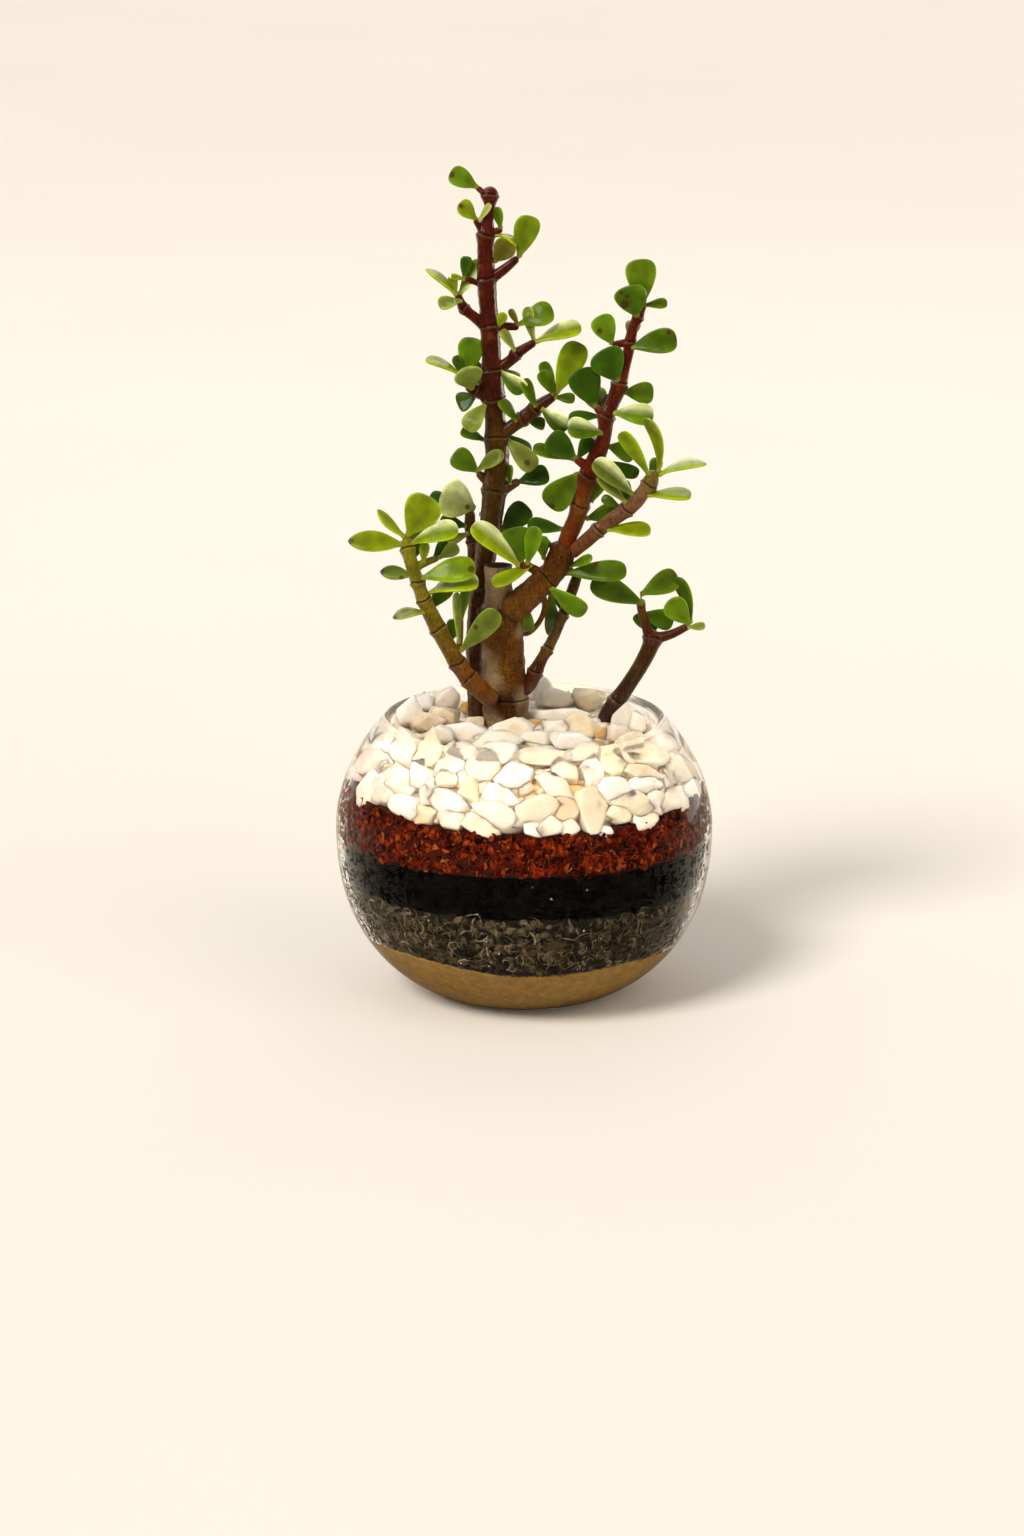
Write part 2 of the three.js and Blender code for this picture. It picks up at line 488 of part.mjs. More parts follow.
// The tallest stem, from the pebbles behind the trunk, and a thin branch at its left
const tallLeft = {
  main: [
    [-15, 60, 16, 2.6], [-15.5, 88, 16, 2.8], [-16.2, 103, 17, 2.9], [-16.3, 114, 18, 3, 1],
    [-15.8, 125, 17.5, 2.9], [-14.5, 134, 16.2, 3.1, 1], [-12.6, 144, 14.4, 3.5],
    [-11.4, 152, 12.8, 3.6, 1], [-10.5, 159, 11, 3.7], [-9.9, 165.5, 10, 4, 1],
    [-9.4, 171, 9.5, 3.9], [-9.1, 177, 9, 3.9], [-9.5, 182.8, 9, 3.6, 1],
    [-9.8, 189.5, 9, 3.3], [-10.4, 196, 8.5, 3.7, 1], [-10.7, 200.5, 8, 3.9],
    [-10.7, 205.3, 8, 3.5, 1], [-10.9, 210.5, 8, 3.1], [-11.1, 215, 7.5, 3.2],
    [-11.3, 220, 7, 3.1, 1], [-11.8, 225, 7, 2.9], [-12.2, 230, 6.5, 3], [-12.6, 236, 6, 3.1, 1],
    [-12.9, 244.5, 6, 2.6], [-12.7, 250.5, 5.5, 2.8, 1], [-12, 255.3, 5, 1.8],
    [-11.4, 260, 5, 1.8], [-11.3, 263.6, 5, 2.6, 1], [-11, 266.6, 5, 1.5],
  ],
  twigs: [
    [[-14.5, 129, 17, 1.4], [-16.8, 134, 19, 1.5], [-17.3, 141, 19.5, 1.5],
      [-17.4, 148, 19.5, 1.6, 1], [-18, 153, 19, 1.9], [-18, 158.5, 17.5, 1.6]],
    [[-12, 263, 5, 1], [-15.7, 266.3, 4.5, 0.9]],
    [[-13, 250, 5.5, 1.2], [-16.3, 255.6, 4.5, 1]],
    [[-12, 250.5, 5.5, 1.3], [-7.2, 252.4, 5, 1]],
    [[-11.5, 235.5, 6, 1.8], [-6.5, 239, 5, 1.6], [-2, 242.8, 4, 1.2]],
    [[-13.5, 234, 6, 1.2], [-19.8, 235.8, 5, 0.9]],
    [[-12, 219.5, 7, 2], [-16.5, 223, 7, 1.7], [-20, 226, 6.5, 1.6, 1], [-22.2, 230.5, 6, 1.2]],
    [[-10, 220, 7, 1.6], [-1.6, 219.8, 6, 1.2]],
    [[-10, 204.5, 8, 2], [-4, 209, 6.5, 1.8], [-2.5, 210.7, 6, 1.8, 1], [3.8, 214.8, 5, 1.2]],
    [[-8.5, 183.3, 9, 2.3], [-3.5, 186.8, 8, 2.2], [-0.5, 189, 7.5, 2.3, 1],
      [3.7, 192.4, 7, 2.3, 1], [10.3, 197, 6.5, 1.5]],
    [[-11, 167, 10, 1.6], [-15.5, 171.2, 9, 1.2]],
    [[-8, 165, 10, 2], [-1.5, 168.4, 9, 1.3]],
    [[-11.5, 197, 8.5, 2.3], [-16.5, 198.8, 7.5, 2, 1], [-20.3, 203.8, 7, 1.4]],
  ],
  leaves: [
    [-15.5, 266.2, -24.7, 271, 1, 7, -15, 0.05], [-16, 255.5, -21.6, 260.8, 2, 6, -20, 0.05],
    [-15, 255.2, -10.6, 261.4, 3, 4, 10, 0], [-7.8, 252.6, -9, 259.7, 1, 4, 30, 0],
    [-9.5, 250.3, -2.2, 247, 2, 6, 70, 0.15], [-9.8, 241.5, -4.6, 248.2, 4, 7.4, 0, 0],
    [-1.7, 243, 2, 256.8, 0.5, 8.5, -15, 0], [-21.5, 230.5, -13.8, 241.8, -1, 5.5, 45, 0.05],
    [-22.6, 230.5, -32.8, 239, 1, 5.5, -62, 0.06], [-20, 236, -19, 243.3, -1, 4, 15, 0],
    [-21, 228.5, -28, 226.5, 5, 6, -40, 0.08], [-20, 235.7, -24.3, 236.6, 0.5, 2.2, 0, 0],
    [-1.6, 220.6, 9.7, 224.5, 1, 7, 45, 0.1], [3.4, 214.9, 1.3, 226.5, -1, 5, 45, 0.04],
    [-2, 220.2, -4.5, 225.7, 1, 2.8, 40, 0], [-8.8, 219.8, -6.5, 224.3, 2, 3.4, 0, 0],
    [-3, 211.8, -7.7, 218.5, 1, 4.5, -45, 0.05], [4.1, 214.8, 19, 219.8, 0.5, 7.5, 42, 0.06],
    [-20, 203.7, -17.3, 216.2, -1, 7.5, 20, 0], [-20.8, 204, -22.5, 210.3, -2, 4, 30, 0],
    [-20.8, 203.6, -32.7, 209, 0.5, 5.5, -58, 0.06], [-17.3, 199, -19.3, 205.8, 7, 9.5, 0, 0],
    [-16, 197, -22, 193.5, -1, 7, -20, 0], [-12.8, 194, -19, 185.3, 4, 6.8, -15, 0.08],
    [-13, 182, -21, 185.3, -1, 4.6, -30, 0], [-15.3, 171.5, -23.5, 177.6, -1, 7.6, 0, 0],
    [-15.5, 171.8, -7, 177, 8, 6, 35, 0.08], [-5.8, 182.3, 3.5, 172.3, 3, 7.2, 10, 0.06],
    [-2, 168, 8.2, 171, -1, 7, 10, 0], [-4.8, 167.3, -4.7, 173.7, 0.5, 3.2, 50, 0],
    [-2.3, 188.2, -8.2, 195.3, 0.5, 5.6, -45, 0.05], [-8, 205, 0.5, 198.5, 1, 6, -30, 0.05],
    [4, 193, -0.3, 202.3, 0.5, 5, -35, 0], [10, 197, 5.4, 204.8, 1, 5.5, -30, 0.05],
    [10.5, 198, 6, 208, -1, 4.6, -20, 0], [10.4, 196.3, 17, 195.8, 0.5, 4, 20, 0],
    [1, 188.7, 7, 186.8, -1, 5, 30, 0], [5.8, 192.5, 14.8, 186, 1, 6.4, -30, 0.08],
    [10.8, 197.6, 18.5, 214.5, -1, 9, 0, 0], [-7.5, 151.5, 1.2, 160, -4, 8.4, 0, 0],
    [-16.3, 159.2, -27.3, 163.5, 3, 11, -5, 0.05], [-18.5, 158.4, -31.3, 163.6, -3, 5, 0, 0],
    [-19.2, 153.3, -28, 155.3, 1, 5, 0, 0], [-18.4, 151, -26.5, 147.5, 0.5, 4.5, -30, 0],
    [-11.5, 152, -11.5, 158, -10, 7, 0, 0.1], [-9.6, 166, -10, 172, -10, 7.4, 0, 0.1],
    [-9.5, 183, -9.6, 189, -10, 7, 0, 0.1], [-10.5, 196.5, -10.6, 203, -10, 7, 0, 0.1],
    [-11, 206, -11, 212, -10, 6, 0, 0.1], [-11.4, 220, -11.8, 226, -9, 6, 0, 0.1],
    [-12.6, 236.5, -12.9, 242.5, -8, 5.6, 0, 0.1], [-12.5, 197.3, -19, 208, -8, 7, 0, 0.05],
    [-8, 205.5, -2.6, 201, -9, 6, 0, 0.05], [-7, 184, 1.5, 177, -8, 6.4, 0, 0.05],
  ],
};

// The limb at the left of the trunk
const leftLimb = {
  main: [
    [-9.2, 95.2, 0, 2.3], [-11.3, 96, -0.5, 3], [-15.2, 99.4, -1.5, 3.2], [-18.5, 102.6, -2, 2.9, 1],
    [-22.2, 107.6, -3, 2.7, 1], [-25.5, 113.5, -3.5, 2.7], [-28.5, 119, -4, 2.7, 1],
    [-31.3, 124.5, -4.5, 2.6], [-33.2, 128.5, -4.5, 2.3, 1], [-35.4, 134.5, -4.5, 2.2, 1],
    [-37.2, 140, -4.5, 2.2], [-38.8, 146, -4.5, 2.2, 1], [-39.3, 149.6, -4.5, 1.4],
  ],
  twigs: [
    [[-23.5, 110.5, -3.2, 1.3], [-21.5, 114, -2.5, 0.9], [-20.9, 122, -2, 0.8]],
    [[-37, 139, -4.5, 1.4], [-33.3, 141, -3.5, 1.3], [-28.5, 142.8, -2, 1]],
  ],
  leaves: [
    [-40.3, 147.2, -58.7, 148.3, 1, 7.6, -20, 0.05], [-40, 150, -48.9, 158.8, 0.5, 5, -50, -0.06],
    [-38.7, 150.3, -31.5, 163, 3, 12, 0, 0], [-37.3, 147.7, -22, 152, 5, 8, 45, 0.08],
    [-37.2, 136.8, -48, 138.2, -1, 5.2, -20, 0.03], [-34, 136, -16.3, 139.5, 3, 8, 20, 0.08],
    [-31.3, 131.2, -15.2, 134.6, 3, 8, 48, 0.1], [-33.3, 124.6, -43.8, 122.7, 1, 5.4, -50, 0.08],
    [-33.6, 141, -33, 148, 0.5, 3.4, 0, 0], [-30, 142.6, -26, 148.5, -1, 4, -20, 0],
    [-28.3, 142.8, -22, 146.8, -1, 4.8, 0, 0], [-21, 111.8, -8.7, 124.8, 4, 7.6, 0, -0.03],
    [-21.6, 114.2, -22.6, 131.2, 0.5, 4.2, -50, 0], [-21, 121.5, -19.3, 133, -1, 3.4, 0, 0],
    [-38, 141, -34.5, 153.5, -8, 8, 0, 0.05], [-31.5, 125.5, -25, 134, -8, 6, 0, 0.05],
    [-25.5, 114, -22.5, 122, -8, 5.4, 0, 0.05],
  ],
};

// The stout limb at the right of the trunk, up to its fork
const rightLimb = {
  sides: 8,
  main: [
    [-5.6, 123.8, 1.6, 2.8], [-4, 125.5, 1.6, 4.2], [0.5, 129.8, 2, 4.3], [7.2, 135.6, 3, 4, 1],
    [11.2, 141, 3.5, 4], [13.6, 146, 4, 4.2], [14.4, 148.2, 4, 3],
  ],
  twigs: [[[6, 137, 3, 1.8], [2.3, 139.4, 1.5, 1.4], [-1.3, 140.4, 0, 1.2]]],
  leaves: [
    [-1.6, 140, -17.3, 153.5, 2, 6.6, -45, 0.06], [-1, 140.6, -3.5, 152.8, -1, 11.5, 0, 0],
    [1, 140.6, 4.2, 153, 1, 6, 20, 0], [6.6, 142.4, 5.8, 150, -1, 5, -20, 0],
    [2.6, 140.6, -10.4, 133.8, 4, 6, -35, -0.04], [10, 146.6, 4.6, 148.3, -2, 4, -30, 0],
    [8.5, 133, 20.7, 124.6, 3, 7, -30, 0.05], [13.8, 137.6, 34.2, 138.3, 2, 7.6, 15, 0.03],
    [15.2, 140, 22.6, 142.8, 6, 3.8, 30, 0], [8.8, 132, 9.6, 116.5, -13, 5, 0, 0],
    [1.3, 126, 1.4, 118, -2, 4.2, 0, 0],
  ],
};

// The tall dark red stem that goes straight on from the fork
const tallRight = {
  main: [
    [13.3, 146.8, 4, 2.5], [15.3, 151, 4, 2.9], [17.5, 156, 3.5, 2.9], [18.6, 160.2, 3, 3, 1],
    [19.9, 164.8, 2.5, 2.9], [21.3, 170, 2, 3.1, 1], [23.2, 174.2, 1.5, 2.9],
    [25.3, 179, 1, 2.7], [26.9, 184, 0.5, 2.3], [27.5, 189.8, 0, 2.6, 1], [29.4, 194, 0, 2.2],
    [30.8, 197.5, 0, 2.5], [31.9, 200.8, 0, 2.4, 1], [33.5, 206, 0, 1.8], [34.7, 211, 0, 1.8],
    [35.4, 214.6, 0, 1.8, 1], [36.4, 219.5, -0.5, 1.7], [38.2, 223.3, -1, 1.5, 1],
    [40, 227.4, -1, 1.1],
  ],
  twigs: [
    [[35, 214.5, 0, 1.3], [29.3, 213.8, -0.5, 1]],
    [[27.3, 190.3, 0, 1.6], [23.7, 193, -0.5, 1.1]],
    [[22.5, 172.5, 1.7, 2], [17, 175.8, 1, 1.2]],
  ],
  leaves: [
    [39.9, 227.8, 38.5, 242.3, 0.5, 10, 0, 0], [37.8, 223, 34.5, 233.3, 2, 10.5, 10, 0],
    [40.2, 227, 47.8, 227.6, 0.5, 4, 30, 0], [29.5, 214, 25, 223.4, 0.5, 8, 0, 0],
    [35.8, 212.8, 51, 215.5, 1, 9.5, 25, 0.06], [31.4, 201.5, 26, 212, 1, 11.5, 0, 0],
    [23.8, 193, 18.6, 205.6, 1, 10.5, 0, 0], [33.2, 198, 43.2, 197.6, -1, 7.2, 0, 0],
    [29.8, 191, 43.2, 189.8, 1, 7.6, 15, 0.08], [26.6, 191.5, 28.2, 197.3, -2, 4, 20, 0],
    [25.3, 190, 14.8, 189, -0.5, 5, -30, 0.05], [26, 184.3, 14.6, 186.2, 4, 7.5, -25, 0.04],
    [17.3, 175.8, 8.2, 183.2, 0.5, 8.6, 0, 0], [16.8, 175.6, 3, 179.6, -1, 4.8, -20, 0],
    [18, 176, 22.3, 183, -1, 5, 0, 0], [28, 180, 37, 177.5, -2, 7, 0, 0],
    [18, 171, 8.2, 159.8, 1, 9.6, 0, 0.05], [24.8, 174.8, 38.3, 170.7, -1, 5, -20, 0],
    [22.3, 161.2, 26.2, 170, -1, 5, 0, 0], [20.8, 155.8, 31.8, 158.8, -2, 6.4, 0, 0],
    [13.4, 152.3, 1.2, 154.2, -2, 6, -30, -0.04], [18.6, 160.5, 12, 167, -8, 7, 0, 0.05],
    [28, 190, 22.5, 198.5, -8, 7.6, 0, 0.05], [32.3, 201.5, 29, 209, -8, 7.6, 0, 0.05],
    [35.5, 215, 36.5, 221.5, -8, 5, 0, 0.05], [24, 176, 24, 183, -9, 5, 0, 0.05],
  ],
};

// The mauve and olive stem that leaves the fork towards the right
const rightMid = {
  main: [
    [15.6, 144.2, 3, 2.2], [18.2, 146.4, 2, 2.3], [21, 148.7, 1.3, 2.4], [24.9, 152.1, 0.2, 2.3, 1],
    [29.2, 155.3, -1.2, 2.4], [34.2, 158.9, -2.5, 2.4, 1], [37.4, 161.9, -3.5, 2.6],
    [39.6, 164.5, -4, 2.3], [41.6, 167.2, -4.5, 2.5, 1], [42.7, 169.8, -5, 2.2],
    [43.3, 172, -5, 1.3],
  ],
  leaves: [
    [36.2, 163.9, 23.2, 174.7, 2, 7, -25, 0.05], [34, 161.2, 24.8, 170, 0.5, 4.4, -20, 0],
    [32, 159.6, 26, 163, -2, 3.4, 0, 0], [27.8, 152.2, 42.3, 151.7, 1, 6, 30, 0.03],
    [41.6, 170.3, 32.3, 184.6, 1, 5.5, 30, -0.05], [44.8, 170.8, 40.7, 189.3, 4.5, 5.5, 45, -0.16],
    [45.2, 170.6, 61, 174, 1.5, 6.4, 62, 0.1], [41.2, 163.6, 55.8, 163.6, 1, 7, 50, 0.04],
    [35.5, 160.5, 32, 168, -8, 5.6, 0, 0.05],
    [42.5, 168, 44.5, 176, -7, 4.4, 0, 0.05],
  ],
};

// The thin brown stem low at the right of the trunk
const rightLow = {
  main: [
    [-0.6, 98, 6.5, 2.1], [1.6, 100.3, 6.5, 2.4], [3.7, 104.6, 7, 2.4, 1], [5.8, 108.8, 7.5, 2],
    [7.9, 112.4, 8, 1.8, 1], [10.6, 118, 8.5, 1.8], [13.1, 124, 9, 1.7, 1], [15.2, 129.5, 9, 1.8],
    [17, 134.5, 9, 1.8], [18.2, 138.2, 9.5, 1.4],
  ],
  leaves: [
    [18.5, 137.6, 28, 139.4, -2, 5, 0, 0.05], [17.2, 137.6, 9.5, 141, -3, 6, 0, 0.05],
    [13, 124.5, 11.5, 131, -7, 4.4, 0, 0.05],
  ],
};

// The separate cutting at the right, in its own hole in the pebbles
const cutting = {
  main: [
    [24, 60, 11, 2.6], [25.6, 80, 13, 2.8], [27.7, 90, 14, 2.8], [31, 95, 13.5, 2.9, 1],
    [34.5, 100, 13, 2.6], [39, 107, 12.5, 2.6], [42, 113, 12, 2.8], [43, 116.2, 12, 3, 1],
    [43.3, 118.6, 12, 1.9],
  ],
  twigs: [
    [[41.8, 117, 12, 1.7], [39.6, 123, 11.5, 1.4], [38.8, 129, 11, 1.6]],
    [[43.5, 115.8, 12, 1.8], [49, 117.2, 11, 1.5], [55.5, 120.4, 10.5, 1.2]],
  ],
  leaves: [
    [40.2, 129.6, 22.5, 135, 1, 7, 15, 0], [39, 130.6, 51.2, 136.7, -3, 8, 0, 0],
    [55.4, 120.8, 50.7, 136.3, -1, 5.4, 35, -0.15], [55.2, 120.6, 48.3, 128.5, 2, 8, 0, 0],
    [39.6, 124.2, 49.8, 121.3, -2, 7, 0, 0], [41, 118.4, 37.3, 124, -1, 4, 0, 0],
    [54.6, 119.6, 60.4, 120, 1, 3.2, 30, 0], [43.2, 117.5, 43, 124, -9, 5.6, 0, 0.05],
  ],
};

// Branches are seated on what carries them, and buried stems get their plain holes
const grown = ({ main, sides = 6 }) => stem(main, { sides, grow: GAP });
const trunkSeat = grown(trunk);
const limbSeat = grown(rightLimb);
const buried = [trunkSeat, grown(tallLeft), grown(cutting)];
const withHoles = (solid) => buried.reduce((rest, hole) => rest.subtract(hole), solid);

const looks = {
  glass: { color: 0xd9d2c8, roughness: 0.05, metalness: 0, transparent: true, opacity: 0.35 },
  sand: { color: 0xb89b63, roughness: 0.95, metalness: 0 },
  gravel: { color: 0x6b6760, roughness: 0.8, metalness: 0 },
  charcoal: { color: 0x1f1c18, roughness: 0.75, metalness: 0 },
  bark: { color: 0x8a3f1e, roughness: 0.85, metalness: 0 },
  pebble: { color: 0xf1e6d2, roughness: 0.4, metalness: 0 },
  wood: { color: 0x7d6040, roughness: 0.75, metalness: 0 },
  leaf: { color: 0x5a7a1c, roughness: 0.35, metalness: 0 },
};

const plant = new THREE.Group();
plant.add(
  meshOf('glass_bowl', glassBowl(), looks.glass),
  meshOf('sand_layer', layer(bowlFloor, sandFace, { sideSteps: 4 }), looks.sand),
  meshOf('gravel_layer', layer(above(sandFace), gravelFace), looks.gravel),
  meshOf('charcoal_layer', layer(above(gravelFace), charcoalFace, { sideSteps: 2 }), looks.charcoal),
  meshOf('bark_layer', withHoles(layer(above(charcoalFace), barkFace, { sideSteps: 2 })), looks.bark),
  meshOf('pebble_bed', withHoles(pebbleBed()), looks.pebble),
  meshOf('trunk', stem(trunk.main, { sides: trunk.sides }), looks.wood),
  meshOf('left_limb', leafyStem(leftLimb).subtract(trunkSeat), looks.leaf),
  meshOf('right_limb', leafyStem(rightLimb).subtract(trunkSeat), looks.leaf),
  meshOf('right_low_stem', leafyStem(rightLow).subtract(trunkSeat), looks.leaf),
  meshOf('tall_left_stem', leafyStem(tallLeft), looks.leaf),
  meshOf('tall_right_stem', leafyStem(tallRight).subtract(limbSeat), looks.leaf),
  meshOf('right_mid_stem', leafyStem(rightMid).subtract(limbSeat).subtract(grown(tallRight)), looks.leaf),
  meshOf('cutting', leafyStem(cutting), looks.leaf),
);

export default plant;
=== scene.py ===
"""A dwarf jade plant in a clear bowl with poured layers, shown as it looks.

Every piece here is a closed skin: rings of points strung along a line, with one point
closing each end. A stem is a line of rings whose radius swells at the joints,
    radius = given radius + 0.5 exp(-(s / 1.3)^2) - groove + sum of a_k sin(k turn + drift),
where s is the length from the joint and the sum makes the wrinkles.
A leaf is a line of flattened rings whose half width is t^p (1 - t)^q, so p makes the
narrow foot and q the round tip. A pebble is a soft polyhedron: in the direction d its
radius is (sum of max(0, d.n_k / h_k)^60)^(-1/60) over its cut faces n_k.
Lengths are millimetres until a piece is made, and metres from there on.
"""

# %% [markdown]
# ## Frame
# The imported solids give the room that the plant may fill. They are set in world
# space, and each is hidden when the piece that stands for it is made.

import math

import bpy
import numpy as np
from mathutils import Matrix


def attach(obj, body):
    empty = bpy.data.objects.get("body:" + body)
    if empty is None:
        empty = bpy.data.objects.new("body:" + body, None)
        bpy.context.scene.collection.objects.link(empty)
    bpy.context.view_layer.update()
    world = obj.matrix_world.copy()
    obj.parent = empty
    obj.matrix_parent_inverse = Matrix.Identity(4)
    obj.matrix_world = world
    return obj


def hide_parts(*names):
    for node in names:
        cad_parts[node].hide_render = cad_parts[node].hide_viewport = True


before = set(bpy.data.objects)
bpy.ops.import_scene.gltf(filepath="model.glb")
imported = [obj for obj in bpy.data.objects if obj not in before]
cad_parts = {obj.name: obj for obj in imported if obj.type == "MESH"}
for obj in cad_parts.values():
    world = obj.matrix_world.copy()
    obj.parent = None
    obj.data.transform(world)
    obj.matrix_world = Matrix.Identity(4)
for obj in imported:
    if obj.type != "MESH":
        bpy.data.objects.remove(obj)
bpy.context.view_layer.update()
MM = 0.001
print("frame nodes:", len(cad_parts))

# %% [markdown]
# ## The sheet that the plant is listed on
# The real plant was read from its front, from a little above. Stems, leaves and stones
# are listed as right and up on a sheet that stands through the foot of the bowl and faces
# the eye, with how far back from the bowl's axis each lies. A world table of points would
# also do, but nobody could check it against a look at the plant. A line of sight through
# the sheet carries each mark back to its depth.

# %% Sight lines
SIGHT_TILT = math.radians(15.4)
SIGHT_DISTANCE = 1450.0
SIGHT_RIGHT, SIGHT_UP = -4.0, 72.67
RIGHT = np.array([1.0, 0.0, 0.0])
SHEET_UP = np.array([0.0, math.sin(SIGHT_TILT), math.cos(SIGHT_TILT)])
TO_EYE = np.array([0.0, -math.cos(SIGHT_TILT), math.sin(SIGHT_TILT)])
EYE = SIGHT_RIGHT * RIGHT + SIGHT_UP * SHEET_UP + SIGHT_DISTANCE * TO_EYE


def place(right, up, back):
    """Points seen at (right, up) that lie `back` behind the bowl's axis."""
    right, up, back = (np.asarray(v, float)[..., None] for v in (right, up, back))
    mark = right * RIGHT + up * SHEET_UP
    share = (back - EYE[1]) / (mark[..., 1:2] - EYE[1])
    return EYE + share * (mark - EYE)


def unit(vectors):
    """Vectors made 1 long."""
    return vectors / np.linalg.norm(vectors, axis=-1, keepdims=True)


def dot(a, b):
    """Dot products, kept as a column so that they can scale vectors."""
    return (a * b).sum(-1, keepdims=True)


print("eye, mm:", EYE.round(1))

# %% [markdown]
# ## Closed skins and pieces
# On the plant everything is a closed lump: a leaf, a twig, a stone, a layer of sand, the
# glass itself. So one function closes rings of points into quads with a fan at each end,
# for any number of equal lumps at once, and turns those that come out inside out. Each
# vertex carries two things for the finish: `tone`, its own colour, and `ways`, where it
# lies on its lump. Metaballs or sculpting would give the same lumps, but not the same
# ones twice.

# %% Closed skins
def paint(hexes):
    """Linear colours from hex strings."""
    flat = np.array([[int(h[i:i + 2], 16) for i in (1, 3, 5)] for h in hexes]) / 255
    return np.where(flat <= 0.04045, flat / 12.92, ((flat + 0.055) / 1.055) ** 2.4)


def skin(rings, first, last, tone, ways):
    """Closed lumps from rings (lump, ring, round, xyz) and their two end points."""
    lumps, rows, cols = rings.shape[:3]
    tone = np.broadcast_to(tone, rings.shape)
    ways = np.broadcast_to(ways, rings.shape)
    ends = [v[:, row].mean(1)[:, None] for v in (tone, ways) for row in (0, -1)]
    flat = (lumps, rows * cols, 3)
    points = np.concatenate([first[:, None], rings.reshape(flat), last[:, None]], 1)
    tones = np.concatenate([ends[0], tone.reshape(flat), ends[1]], 1)
    where = np.concatenate([ends[2], ways.reshape(flat), ends[3]], 1)
    grid = 1 + np.arange(rows * cols).reshape(rows, cols)
    turned = np.roll(grid, -1, 1)
    quads = np.stack([grid[:-1], turned[:-1], turned[1:], grid[1:]], -1).reshape(-1, 4)
    foot = np.stack([np.zeros(cols, int), turned[0], grid[0]], -1)
    head = np.stack([np.full(cols, rows * cols + 1), grid[-1], turned[-1]], -1)
    fans = np.concatenate([foot, head])
    halves = np.concatenate([fans, quads[:, [0, 1, 2]], quads[:, [0, 2, 3]]])
    a, b, c = (points[:, halves[:, k]] for k in range(3))
    inside_out = (a * np.cross(b, c)).sum((1, 2)) < 0
    step = np.arange(lumps)[:, None, None] * (rows * cols + 2)
    faces = []
    for corners in (quads, fans):
        every = np.broadcast_to(corners, (lumps, *corners.shape)).copy()
        every[inside_out] = every[inside_out][..., ::-1]
        faces.append((every + step).reshape(-1, corners.shape[1]))
    return [v.reshape(-1, 3) for v in (points, tones, where)] + faces


# %% [markdown]
# ## Pieces
# Skins that share a finish become one mesh object. Its arrays are handed over whole with
# foreach_set, which takes a moment where adding faces one by one would take minutes. Each
# piece rides on the plant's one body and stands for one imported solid.

# %% Pieces
def piece(name, skins, finish, node):
    """One smooth mesh object from skins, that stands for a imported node."""
    offsets = np.cumsum([0] + [len(s[0]) for s in skins])
    points, tones, where = (np.concatenate([s[k] for s in skins]) for k in range(3))
    quads, fans = (
        np.concatenate([s[k] + o for s, o in zip(skins, offsets)]) for k in (3, 4))
    mesh = bpy.data.meshes.new(name)
    mesh.vertices.add(len(points))
    mesh.vertices.foreach_set("co", (points * MM).astype(np.float32).ravel())
    corners = np.concatenate([quads.ravel(), fans.ravel()])
    starts = np.concatenate([
        np.arange(len(quads)) * 4, len(quads) * 4 + np.arange(len(fans)) * 3])
    mesh.loops.add(len(corners))
    mesh.loops.foreach_set("vertex_index", corners.astype(np.int32))
    mesh.polygons.add(len(starts))
    mesh.polygons.foreach_set("loop_start", starts.astype(np.int32))
    mesh.polygons.foreach_set("use_smooth", np.ones(len(starts), bool))
    mesh.update(calc_edges=True)
    colour = mesh.attributes.new("tone", "FLOAT_COLOR", "POINT")
    colour.data.foreach_set("color", np.c_[tones, np.ones(len(tones))].ravel())
    spot = mesh.attributes.new("ways", "FLOAT_VECTOR", "POINT")
    spot.data.foreach_set("vector", where.ravel())
    obj = bpy.data.objects.new(name, mesh)
    bpy.context.scene.collection.objects.link(obj)
    mesh.materials.append(finish)
    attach(obj, "root")
    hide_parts(node)
    triangles = 2 * len(quads) + len(fans)
    print(f"{name}: {triangles} triangles, {len(points)} points")
    return obj


# %% [markdown]
# ## Shader sums
# Finishes are worked out as sums, so a socket is wrapped in a small class that adds,
# multiplies and so on like a number. Every other node comes from one method that takes
# its type, its settings and its inputs. The usual way is to draw the nodes by hand, but
# sums can be read, compared and used again.

# %% Sums of sockets
class Wire:
    """A shader output that can be used in sums."""

    def __init__(self, finish, socket):
        self.finish, self.socket = finish, socket

    def sum(self, operation, *values):
        """One step of a sum, such as ADD."""
        return self.finish.node("ShaderNodeMath", {"operation": operation},
                                dict(enumerate(values)))

    def __add__(self, other):
        return self.sum("ADD", self, other)

    def __sub__(self, other):
        return self.sum("SUBTRACT", self, other)

    def __mul__(self, other):
        return self.sum("MULTIPLY", self, other)

    def __truediv__(self, other):
        return self.sum("DIVIDE", self, other)

    def __pow__(self, other):
        return self.sum("POWER", self, other)

    def __rsub__(self, other):
        return self.sum("SUBTRACT", other, self)

    def __rtruediv__(self, other):
        return self.sum("DIVIDE", other, self)

    __radd__, __rmul__ = __add__, __mul__

    def __abs__(self):
        return self.sum("ABSOLUTE", self)

    def sine(self):
        return self.sum("SINE", self)

    def ramp(self, low, high, start=0.0, end=1.0, bend="SMOOTHSTEP"):
        """Runs from start to end while this goes from low to high."""
        return self.finish.node(
            "ShaderNodeMapRange", {"interpolation_type": bend},
            {0: self, 1: low, 2: high, 3: start, 4: end})


